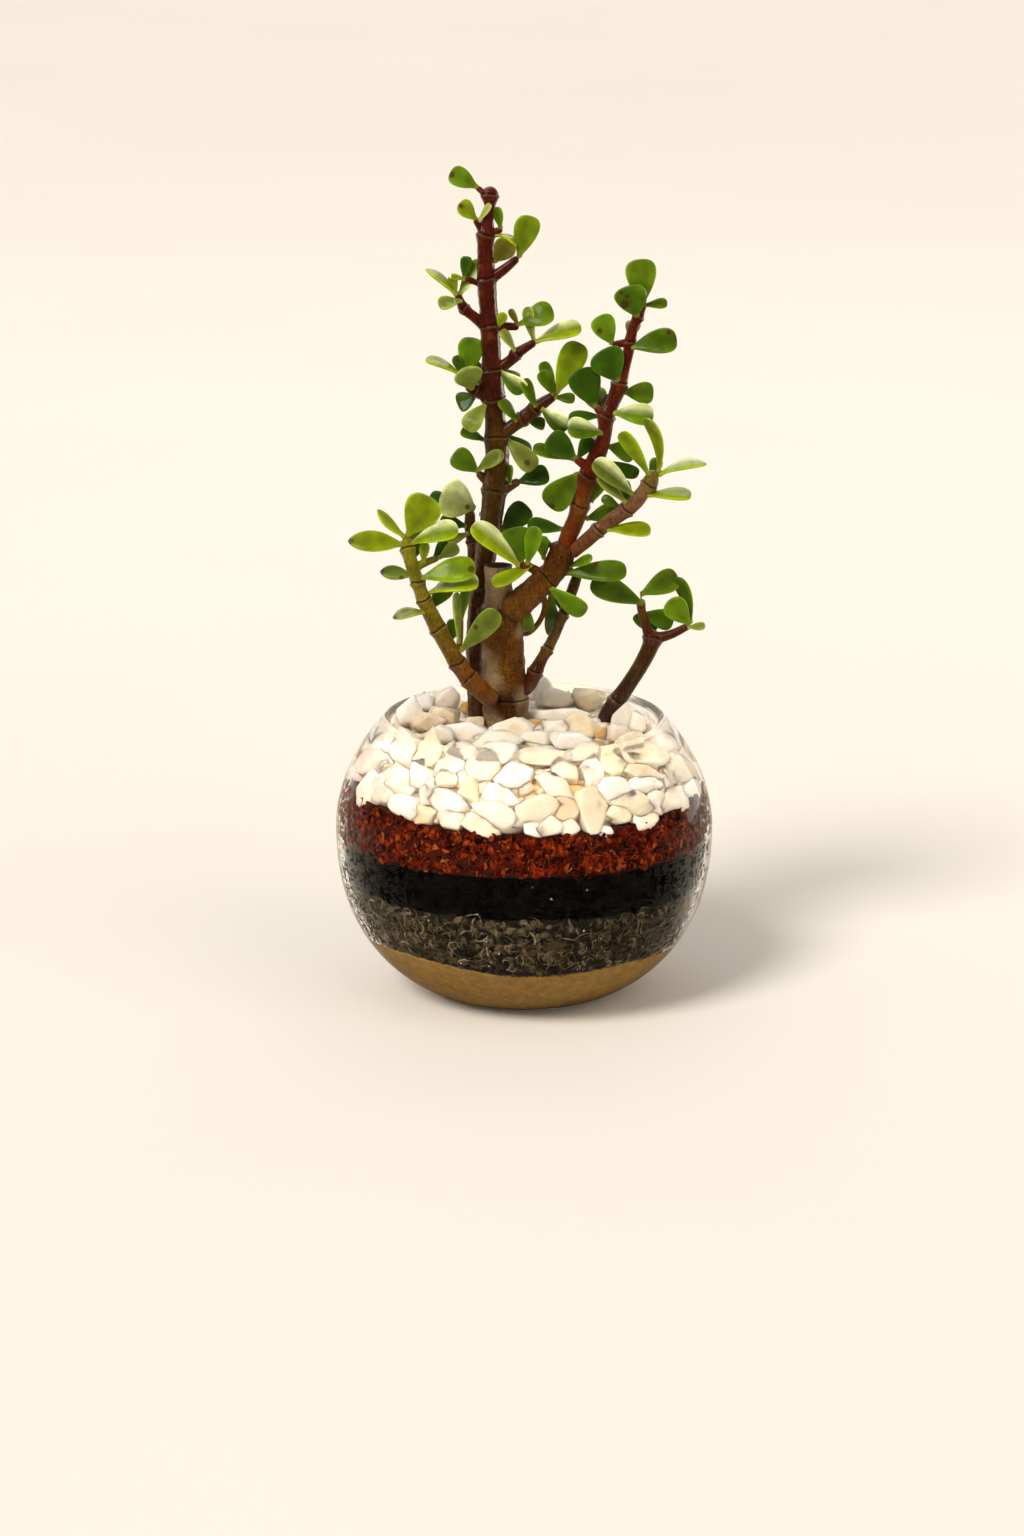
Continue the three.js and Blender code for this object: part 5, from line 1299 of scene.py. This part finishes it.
# %% Right limb
list_stem(
    "right_limb",
    main=[
        (-5.6, 123.8, 1.6, 2.8), (-4, 125.5, 1.6, 4.2), (0.5, 129.8, 2, 4.3),
        (7.2, 135.6, 3, 4, 1), (11.2, 141, 3.5, 4), (13.6, 146, 4, 4.2), (14.4, 148.2, 4, 3),
    ],
    twigs=[
        [(6, 137, 3, 1.8), (2.3, 139.4, 1.5, 1.4), (-1.3, 140.4, 0, 1.2)],
        [(5.6, 131.6, 4, 1), (7, 127.4, 6.5, 1), (6.2, 123.6, 8, 0.9), (4, 119.9, 9, 0.9),
         (1.2, 117.5, 9, 0.8), (-1, 117.3, 9, 0.7)],
    ],
    leaves=[
        (-1.6, 140, -17.3, 153.5, 2, 8.4, -32, 0.06, "y-"),
        (-1, 140.6, -3.5, 152.8, -1, 11.5, 0, 0, "m"), (1, 140.6, 4.2, 153, 1, 6, 20, 0, "g"),
        (6.6, 142.4, 5.8, 150, -1, 5, -20, 0, "g"),
        (2.6, 140.6, -10.4, 133.8, 4, 6, -35, -0.04, "y"),
        (10, 146.6, 4.6, 148.3, -2, 4, -30, 0, "g"),
        (8.5, 133, 20.7, 124.6, 3, 7, -30, 0.05, "g"),
        (13.8, 137.6, 34.2, 138.3, 2, 7.6, 15, 0.03, "m"),
        (15.2, 140, 22.6, 142.8, 6, 3.8, 30, 0, "g"),
        (8.8, 132, 9.6, 116.5, -13, 5, 0, 0, "m"), (1.3, 126, 1.4, 118, -2, 4.2, 0, 0, "g"),
    ],
)

# %% Tall right stem
list_stem(
    "tall_right",
    main=[
        (13.3, 146.8, 4, 2.5), (15.3, 151, 4, 2.9), (17.5, 156, 3.5, 2.9),
        (18.6, 160.2, 3, 3, 1), (19.9, 164.8, 2.5, 2.9), (21.3, 170, 2, 3.1, 1),
        (23.2, 174.2, 1.5, 2.9), (25.3, 179, 1, 2.7), (26.9, 184, 0.5, 2.3),
        (27.5, 189.8, 0, 2.6, 1), (29.4, 194, 0, 2.2), (30.8, 197.5, 0, 2.5),
        (31.9, 200.8, 0, 2.4, 1), (33.5, 206, 0, 1.8), (34.7, 211, 0, 1.8),
        (35.4, 214.6, 0, 1.8, 1), (36.4, 219.5, -0.5, 1.7), (38.2, 223.3, -1, 1.5, 1),
        (40, 227.4, -1, 1.1),
    ],
    twigs=[
        [(35, 214.5, 0, 1.3), (29.3, 213.8, -0.5, 1)],
        [(27.3, 190.3, 0, 1.6), (23.7, 193, -0.5, 1.1)],
        [(22.5, 172.5, 1.7, 2), (17, 175.8, 1, 1.2)],
    ],
    leaves=[
        (39.9, 227.8, 38.5, 242.3, 0.5, 10, 0, 0, "g"),
        (37.8, 223, 34.5, 233.3, 2, 10.5, 10, 0, "m"),
        (40.2, 227, 47.8, 227.6, 0.5, 4, 30, 0, "m"),
        (29.5, 214, 25, 223.4, 0.5, 8, 0, 0, "g"),
        (35.8, 212.8, 51, 215.5, 1, 9.5, 25, 0.06, "m"),
        (31.4, 201.5, 26, 212, 1, 11.5, 0, 0, "d"),
        (23.8, 193, 18.6, 205.6, 1, 10.5, 0, 0, "d"),
        (33.2, 198, 43.2, 197.6, -1, 7.2, 0, 0, "m"),
        (29.8, 191, 43.2, 189.8, 1, 7.6, 15, 0.08, "g+"),
        (26.6, 191.5, 28.2, 197.3, -2, 4, 20, 0, "o"),
        (25.3, 190, 14.8, 189, -0.5, 5, -30, 0.05, "d"),
        (26, 184.3, 14.6, 186.2, 4, 7.8, -25, 0.04, "m-"),
        (17.3, 175.8, 8.2, 183.2, 0.5, 8.6, 0, 0, "d"),
        (16.8, 175.6, 3, 179.6, -1, 4.8, -20, 0, "m"), (18, 176, 22.3, 183, -1, 5, 0, 0, "d"),
        (28, 180, 37, 177.5, -2, 7, 0, 0, "m"), (18, 171, 8.2, 159.8, 1, 9.6, 0, 0.05, "m"),
        (24.8, 174.8, 38.3, 170.7, -1, 5, -20, 0, "d"),
        (22.3, 161.2, 26.2, 170, -1, 5, 0, 0, "g"),
        (20.8, 155.8, 31.8, 158.8, -2, 6.4, 0, 0, "m"),
        (13.4, 152.3, 1.2, 154.2, -2, 6, -30, -0.04, "d"),
        (18.6, 160.5, 12, 167, -8, 7, 0, 0.05, "m"),
        (28, 190, 22.5, 198.5, -8, 7.6, 0, 0.05, "m"),
        (32.3, 201.5, 29, 209, -8, 7.6, 0, 0.05, "m"),
        (35.5, 215, 36.5, 221.5, -8, 5, 0, 0.05, "m"), (24, 176, 24, 183, -9, 5, 0, 0.05, "m"),
    ],
)

# %% Right middle stem
list_stem(
    "right_mid",
    main=[
        (15.6, 144.2, 3, 2.2), (18.2, 146.4, 2, 2.3), (21, 148.7, 1.3, 2.4),
        (24.9, 152.1, 0.2, 2.3, 1), (29.2, 155.3, -1.2, 2.4), (34.2, 158.9, -2.5, 2.4, 1),
        (37.4, 161.9, -3.5, 2.6), (39.6, 164.5, -4, 2.3), (41.6, 167.2, -4.5, 2.5, 1),
        (42.7, 169.8, -5, 2.2), (43.3, 172, -5, 1.3),
    ],
    leaves=[
        (36.2, 163.9, 23.2, 174.7, 2, 7.6, -25, 0.05, "s-"),
        (34, 161.2, 24.8, 170, 0.5, 4.4, -20, 0, "p"),
        (32, 159.6, 26, 163, -2, 3.4, 0, 0, "m"),
        (27.8, 152.2, 42.3, 151.7, 1, 6, 30, 0.03, "y"),
        (41.6, 170.3, 32.3, 184.6, 1, 5.5, 30, -0.05, "y"),
        (44.8, 170.8, 40.7, 189.3, 4.5, 5.5, 45, -0.16, "y"),
        (45.2, 170.6, 61, 174, 1.5, 6.4, 58, 0.1, "y^+"),
        (41.2, 163.6, 55.8, 163.6, 1, 7, 50, 0.04, "y"),
        (35.5, 160.5, 32, 168, -8, 5.6, 0, 0.05, "m"),
        (42.5, 168, 44.5, 176, -7, 4.4, 0, 0.05, "m"),
    ],
)

# %% Right low stem
list_stem(
    "right_low",
    main=[
        (-0.6, 98, 6.5, 2.1), (1.6, 100.3, 6.5, 2.4), (3.7, 104.6, 7, 2.4, 1),
        (5.8, 108.8, 7.5, 2), (7.9, 112.4, 8, 1.8, 1), (10.6, 118, 8.5, 1.8),
        (13.1, 124, 9, 1.7, 1), (15.2, 129.5, 9, 1.8), (17, 134.5, 9, 1.8),
        (18.2, 138.2, 9.5, 1.4),
    ],
    leaves=[
        (18.5, 137.6, 28, 139.4, -2, 5, 0, 0.05, "d"),
        (17.2, 137.6, 9.5, 141, -3, 6, 0, 0.05, "m"),
        (13, 124.5, 11.5, 131, -7, 4.4, 0, 0.05, "d"),
    ],
)

# %% Cutting
list_stem(
    "cutting",
    main=[
        (24, 60, 11, 2.6), (25.6, 80, 13, 2.8), (27.7, 90, 14, 2.8), (31, 95, 13.5, 2.9, 1),
        (34.5, 100, 13, 2.6), (39, 107, 12.5, 2.6), (42, 113, 12, 2.8), (43, 116.2, 12, 3, 1),
        (43.3, 118.6, 12, 1.9),
    ],
    twigs=[
        [(41.8, 117, 12, 1.7), (39.6, 123, 11.5, 1.4), (38.8, 129, 11, 1.6)],
        [(43.5, 115.8, 12, 1.8), (49, 117.2, 11, 1.5), (55.5, 120.4, 10.5, 1.2)],
    ],
    leaves=[
        (39.8, 127.4, 22.6, 135.2, 1, 8.6, 15, 0, "m"),
        (39, 130.6, 51.2, 136.7, -3, 8, 0, 0, "g"),
        (55.4, 120.8, 50.7, 136.3, -1, 5.4, 35, -0.15, "m"),
        (55.2, 120.6, 48.3, 128.5, 2, 8, 0, 0, "g"),
        (39.6, 124.2, 49.8, 121.3, -2, 7, 0, 0, "m"), (41, 118.4, 37.3, 124, -1, 4, 0, 0, "m"),
        (54.6, 119.6, 60.4, 120, 1, 3.2, 30, 0, "p"),
        (43.2, 117.5, 43, 124, -9, 5.6, 0, 0.05, "m"),
    ],
)

# %% Colours along the stems
STEM_COLOURS = {
    "tall_left": [(88, "#5A3113"), (135, "#4A2309"), (160, "#4A310B"), (178, "#4E3309"),
                  (192, "#441A07"), (215, "#4E1507"), (245, "#541709"), (268, "#681E0C")],
    "left_limb": [(93, "#663409"), (104, "#75440C"), (115, "#715711"), (135, "#736C0D"),
                  (150, "#808217")],
    "right_limb": [(118, "#80531E"), (126, "#724610"), (136, "#5F3707"), (148, "#542708")],
    "tall_right": [(146, "#6E2C09"), (158, "#72400C"), (166, "#621E06"), (190, "#511805"),
                   (215, "#591A06"), (228, "#7B330C")],
    "right_mid": [(143, "#623317"), (150, "#70472C"), (160, "#745032"), (166, "#725D1A"),
                  (173, "#77751A")],
    "right_low": [(97, "#421B07"), (106, "#4E250A"), (112, "#584018"), (120, "#5C441A"),
                  (138, "#5C4414")],
    "cutting": [(75, "#3A2209"), (95, "#3A2209"), (108, "#402907"), (116, "#4A1E09"),
                (121, "#5C2D0E"), (134, "#644510")],
}
TRUNK_COLOURS = [(60, "#56300B"), (90, "#59340C"), (96, "#371A04"), (99, "#6E430D"),
                 (112, "#74460F"), (124, "#694517"), (128, "#756041"), (141, "#806B4F")]
NODES = {"tall_left": "tall_left_stem", "left_limb": "left_limb", "right_limb": "right_limb",
         "tall_right": "tall_right_stem", "right_mid": "right_mid_stem",
         "right_low": "right_low_stem", "cutting": "cutting"}
print("leaves listed:", sum(len(part["leaves"]) for part in PLANT.values()))

# %% Brown spots
# Stem, leaf, right, up and radius in mm
SPOTS = [
    ("tall_left", 0, -24.2, 270.6, 0.9), ("tall_left", 1, -21, 260, 0.7),
    ("tall_left", 27, 1.3, 174.3, 0.8), ("tall_left", 36, 5, 186.5, 0.8),
    ("tall_left", 40, -19, 159.4, 0.8), ("left_limb", 0, -50.5, 147, 0.7),
    ("left_limb", 0, -58, 148.2, 0.9), ("left_limb", 4, -41, 136.2, 0.7),
    ("left_limb", 4, -47.4, 138, 0.8), ("left_limb", 5, -17.4, 139.3, 1.0),
    ("left_limb", 7, -43.2, 122.8, 0.9), ("left_limb", 11, -16, 119.5, 0.8),
    ("tall_right", 1, 33.9, 227, 1.3), ("tall_right", 1, 32.4, 231, 0.5),
    ("tall_right", 1, 34.4, 229.6, 0.5), ("tall_right", 3, 24.8, 218, 0.7),
    ("tall_right", 4, 48, 217.4, 0.8), ("right_limb", 7, 24, 140.8, 0.7),
    ("tall_right", 16, 8.8, 160.4, 1.0),
]


NEARER = 0.03


def on_skin(made, right, up):
    """The point of a skin that is seen at (right, up), nearest to the eye."""
    points = made[0]
    share = (EYE @ TO_EYE) / ((EYE - points) @ TO_EYE)
    mark = EYE + share[:, None] * (points - EYE)
    apart = np.hypot(mark @ RIGHT - right, mark @ SHEET_UP - up)
    return points[np.argmin(apart - NEARER * (points @ TO_EYE))]


# %% [markdown]
# ## Skin of the stems and leaves
# The trunk has a grey shell that has split and shows a tongue of brown, the thick limb is
# knotty, and the young stems are red, smooth and waxy. One finish makes all three, with
# more or less of streaks, scales and wax. A leaf is fleshy and shiny, with a thin pale line
# at its edge, yellow at its foot, and a few brown spots that lie where the lists put them.
# Its middle is painted darker and its edge lighter, painted light as if shining through
# the thin edge, and some leaves carry a painted sheen, a pale band along one side.

# %% Stem finish
def bark_finish(name, gloss, streak, mottling, *, scaly=0.25, coat=0.0, tongue=None):
    """Bark or waxy skin: streaks along the stem, blotches, pale lips and dark grooves.

    With a tongue, brown shows through a grey shell, that many metres left of the axis.
    """
    f = Finish(name)
    tone = f.carried("tone", "Color")
    run, groove, lip = f.parts(f.carried("ways"))
    streaks = f.noise(700, 4.0, stretch=(2.6, 2.6, 0.35), rough=0.65)
    blotches = f.noise(190, 3.0, rough=0.6)
    specks = f.noise(2200, 2.0)
    scales = f.cracks(1500, 0.16, f.stretched((1.0, 1.0, 0.55)), 0.9)
    shade = streaks.ramp(0.34, 0.66, 1 - streak, 1 + streak)
    shade = shade * blotches.ramp(0.36, 0.64, 1 - mottling, 1 + mottling)
    shade = shade * specks.ramp(0.3, 0.42, 0.7, 1.0) * (1 - scaly + scales * scaly)
    body = f.shaded(tone, shade)
    if tongue:
        east, _, up = f.parts(f.spot)
        beside = abs(east + tongue) - up * 0.11 + 0.0087 + (f.noise(70, 1.0) - 0.5) * 0.022
        beside = beside + up.ramp(0.127, 0.13, 0, 0.02)
        shell = f.blend(blotches.ramp(0.3, 0.7), rgb("#8C7050"), rgb("#B29470"))
        body = f.blend(beside.ramp(0.0, 0.004, 0, 0.8), body, shell)
    pores = f.node("ShaderNodeTexVoronoi", None, {"Vector": f.spot, "Scale": 240})
    body = f.blend(pores.ramp(0.1, 0.05, 0, 0.6), body, rgb("#1E1006"))
    worn = f.blend(blotches.ramp(0.58, 0.72, 0, 0.3), body, rgb("#7E5A2C"))
    pale = f.blend(lip.ramp(0.35, 1.0, 0, 0.16), worn, rgb("#A27C48"))
    ringed = f.blend(groove.ramp(0.2, 0.8, 0, 0.9), pale, rgb("#1E0E06"))
    crease = (run * 2.6 + streaks * 3).sine()
    height = streaks * 0.7 + specks * 0.2 + crease * 0.08 + scales * scaly
    return f.surface({
        "Base Color": ringed, "Roughness": streaks.ramp(0.3, 0.7, gloss - 0.1, gloss + 0.12),
        "Specular IOR Level": 0.12, "Coat Weight": coat, "Coat Roughness": 0.06,
        "Normal": f.bump(height, 0.0006, 0.9)})


# %% Leaf finish
SPOT_FADE = 0.7


def leaf_finish(spots):
    """Shiny green flesh with spots, each a centre and a radius in mm."""
    f = Finish("fleshy_leaf")
    tone = f.carried("tone", "Color")
    along, edge, upper = f.parts(f.carried("ways"))
    clouds = f.noise(240, 2.0)
    cells = f.noise(3600, 1.0)
    shade = clouds.ramp(0.3, 0.7, 0.78, 1.14) * cells.ramp(0.25, 0.75, 0.94, 1.05)
    # Darker in the middle and lighter towards the edge: painted light, as if shining through the
    # thinner edge.
    shade = shade * edge.ramp(0.1, 0.85, 0.8, 1.12)
    under = f.blend(upper.ramp(0.1, -0.5, 0, 0.3), f.shaded(tone, shade), rgb("#7C8A30"))
    rim = f.blend(edge.ramp(0.82, 0.98, 0, 0.7), under, f.shaded(under, 1.9))
    colour = f.blend(along.ramp(0.16, 0.0, 0, 0.6), rim, rgb("#968A30"))
    for centre, size in spots:
        gone = f.away(tuple(centre * MM)) + clouds * 0.0004
        colour = f.blend(gone.ramp(size * MM, (size + SPOT_FADE) * MM, 0.8, 0), colour,
                         rgb("#3E2408"))
    return f.surface({
        "Base Color": colour, "Roughness": cells.ramp(0.2, 0.8, 0.24, 0.34),
        "Subsurface Weight": 0.1, "Subsurface Radius": (0.8, 1.0, 0.15),
        "Subsurface Scale": 0.0015, "Specular IOR Level": 0.2, "Coat Weight": 0.4,
        "Coat Roughness": 0.06,
        "Normal": f.bump(cells * 0.5 + clouds * 0.5, 0.00025, 0.5)})


# %% [markdown]
# ## Grow the plant
# Every stem is made from its list with its own seed, its leaves grow from it, and each
# stem's bark and leaves become a piece each, so that they can be picked apart later.

# %% Grow the plant
woody = bark_finish("weathered_bark", 0.6, 0.32, 0.16, scaly=0.5, tongue=0.0045)
knotty = bark_finish("knotty_bark", 0.42, 0.34, 0.22, scaly=0.4, coat=0.15)
waxy = bark_finish("waxy_stem", 0.34, 0.22, 0.22, scaly=0.18, coat=0.6)
THICK = {"right_limb": dict(around=40, wrinkle=0.22, lumpy=0.3),
         "tall_left": dict(around=28, wrinkle=0.1, lumpy=0.12)}
trunk = stem(TRUNK, TRUNK_COLOURS, 3, around=56, wrinkle=0.14, lumpy=0.22, hollow=True)
piece("trunk_bark", [trunk], woody, "trunk")
blades = {}
for index, (key, part) in enumerate(PLANT.items()):
    stems = [part["main"], *part.get("twigs", [])]
    colours = STEM_COLOURS[key]
    skins = [stem(part["main"], colours, 100 + index, **THICK.get(key, {}))]
    for number, twig in enumerate(part.get("twigs", [])):
        skins.append(stem(twig, colours, 200 + 20 * index + number, around=16,
                          flare=0.35, wrinkle=0.03))
    piece(key + "_bark", skins, knotty if key == "right_limb" else waxy,
          NODES[key])
    rng = np.random.default_rng(300 + index)
    blades[key] = [leaf(stems, row, rng) for row in part["leaves"]]
leafy = leaf_finish([(on_skin(blades[key][number], right, up), size)
                     for key, number, right, up, size in SPOTS])
for key, skins in blades.items():
    piece(key + "_leaves", skins, leafy, NODES[key])

# %% [markdown]
# ## Floor
# A large pale floor fills the background, so that nothing draws the eye from the plant.
# What the glass mirrors of it is a painted reflection: the floor's colour as seen in
# reflections is dark in front, or the whole bowl would look milky. One bright patch that
# glows only in reflections is a painted gleam low on the right side of the glass.

# %% Floor
FLOOR_HALF = 9.0
GLEAM_SPOT = (0.1, 0.035, 0.0)


def floor_finish():
    """Warm white, and in reflections dark in front and pale behind."""
    f = Finish("pale_floor")
    mirrored = f.mirrored()
    seen = f.blend(f.noise(3.0, 2.0), rgb("#F3EDE4"), rgb("#EEE8DE"))
    back = f.parts(f.spot)[1]
    # In reflections only, the floor is painted dark in front and pale behind: a painted
    # reflection.
    painted_reflection = f.blend(back.ramp(-0.04, 0.06), rgb("#33281A"), rgb("#E6D6BE"))
    # A patch that glows only in reflections: a painted gleam.
    gleam = mirrored * f.away(GLEAM_SPOT).ramp(0.045, 0.02)
    return f.surface({
        "Base Color": f.blend(mirrored, seen, painted_reflection),
        "Emission Color": f.blend(gleam, (0, 0, 0, 1), rgb("#FFF1DC")),
        "Emission Strength": 0.9, "Roughness": 0.8, "Specular IOR Level": 0.2})


scene = bpy.context.scene
floor_mesh = bpy.data.meshes.new("studio_floor")
floor_mesh.from_pydata([(FLOOR_HALF * x, FLOOR_HALF * y, 0)
                        for x, y in ((-1, -1), (1, -1), (1, 1), (-1, 1))], [], [(0, 1, 2, 3)])
floor = bpy.data.objects.new("studio_floor", floor_mesh)
scene.collection.objects.link(floor)
floor_mesh.materials.append(floor_finish())

# %% [markdown]
# ## Room and lamps
# Two broad, soft suns light the plant: a strong one from the upper left in front, like a
# window, and a weak one from the right, like light that the room gives back. A pale
# sky fills the shadows, and is dim in reflections except behind the plant, because a
# bright sky all round would veil the glass. Small lamps stand where leaves and glass
# should shine. All but one of them show only in gloss, so they don't light the floor.

# %% Room
SKY_LIGHT, SKY_LOST_IN_GLOSS = 0.48, 0.45


def room_sky():
    """A pale sky, dim where it is mirrored from anywhere but behind."""
    f = Finish("soft_room", "worlds")
    back = f.parts(f.node("ShaderNodeTexCoord", out="Generated"))[1]
    dimmed = f.mirrored() * back.ramp(0.3, 0.8, 1.0, 0.0, "LINEAR")
    sky = f.node("ShaderNodeBackground", None, {
        "Color": rgb("#F8F1E7"), "Strength": SKY_LIGHT - dimmed * SKY_LOST_IN_GLOSS})
    return f.close(sky, "ShaderNodeOutputWorld")


def sun(name, power, spread, pitch, yaw, colour):
    """A soft sun that doesn't show in gloss."""
    data = bpy.data.lights.new(name, "SUN")
    data.energy, data.angle, data.color = power, math.radians(spread), colour
    obj = bpy.data.objects.new(name, data)
    obj.rotation_euler = (math.radians(pitch), 0, math.radians(yaw))
    obj.visible_glossy = False
    scene.collection.objects.link(obj)


scene.world = room_sky()
sun("window", 2.5, 20, 44, -38, (1.0, 0.97, 0.93))
sun("bounce", 0.8, 50, 62, 48, (1.0, 0.95, 0.88))

# %% Lamps
# Name, place, height aimed at, width and height, power, colour, and if it only shines
LAMPS = [
    ("sheen", (-0.95, -0.45, 1.0), 0.15, (0.5, 0.5), 4.0, (1.0, 0.97, 0.93), True),
    ("side", (0.66, 0.5, 0.16), 0.06, (0.35, 0.6), 2.0, (1.0, 0.97, 0.92), True),
    ("overhead", (0.1, 1.3, 1.3), 0.15, (2.0, 1.0), 2.5, (1.0, 0.97, 0.92), False),
    ("card", (-0.3, 1.0, 1.25), 0.15, (2.2, 1.2), 14.0, (1.0, 0.98, 0.94), True),
    ("glint", (-0.5, -1.2, 1.2), 0.15, (0.5, 0.3), 2.0, (1.0, 0.98, 0.95), True),
]


def lamp(name, spot, aim, size, power, colour, shines):
    """A flat lamp turned towards a point on the bowl's axis."""
    data = bpy.data.lights.new(name, "AREA")
    data.shape, data.size, data.size_y = "RECTANGLE", *size
    data.energy, data.color = power, colour
    obj = bpy.data.objects.new(name, data)
    obj.location = spot
    way = np.array([0, 0, aim]) - np.array(spot)
    flat = math.hypot(way[0], way[1])
    obj.rotation_euler = (math.atan2(flat, -way[2]), 0, math.atan2(-way[0], way[1]))
    obj.visible_diffuse = obj.visible_transmission = not shines
    scene.collection.objects.link(obj)


for row in LAMPS:
    lamp(*row)

# %% [markdown]
# ## Camera
# The eye stands where the sheet of sight lines has it, so every listed mark is seen where
# it was read. The lens is long, as for a plant portrait.

# %% Camera
camera = bpy.data.cameras.new("eye")
camera.sensor_width, camera.lens = 36.0, 101.95
camera.clip_start, camera.clip_end = 0.05, 60.0
eye = bpy.data.objects.new("eye", camera)
eye.location = EYE * MM
eye.rotation_euler = (math.pi / 2 - SIGHT_TILT, 0, 0)
scene.collection.objects.link(eye)
scene.camera = eye
scene.view_settings.view_transform = "Standard"
scene.view_settings.look = "None"
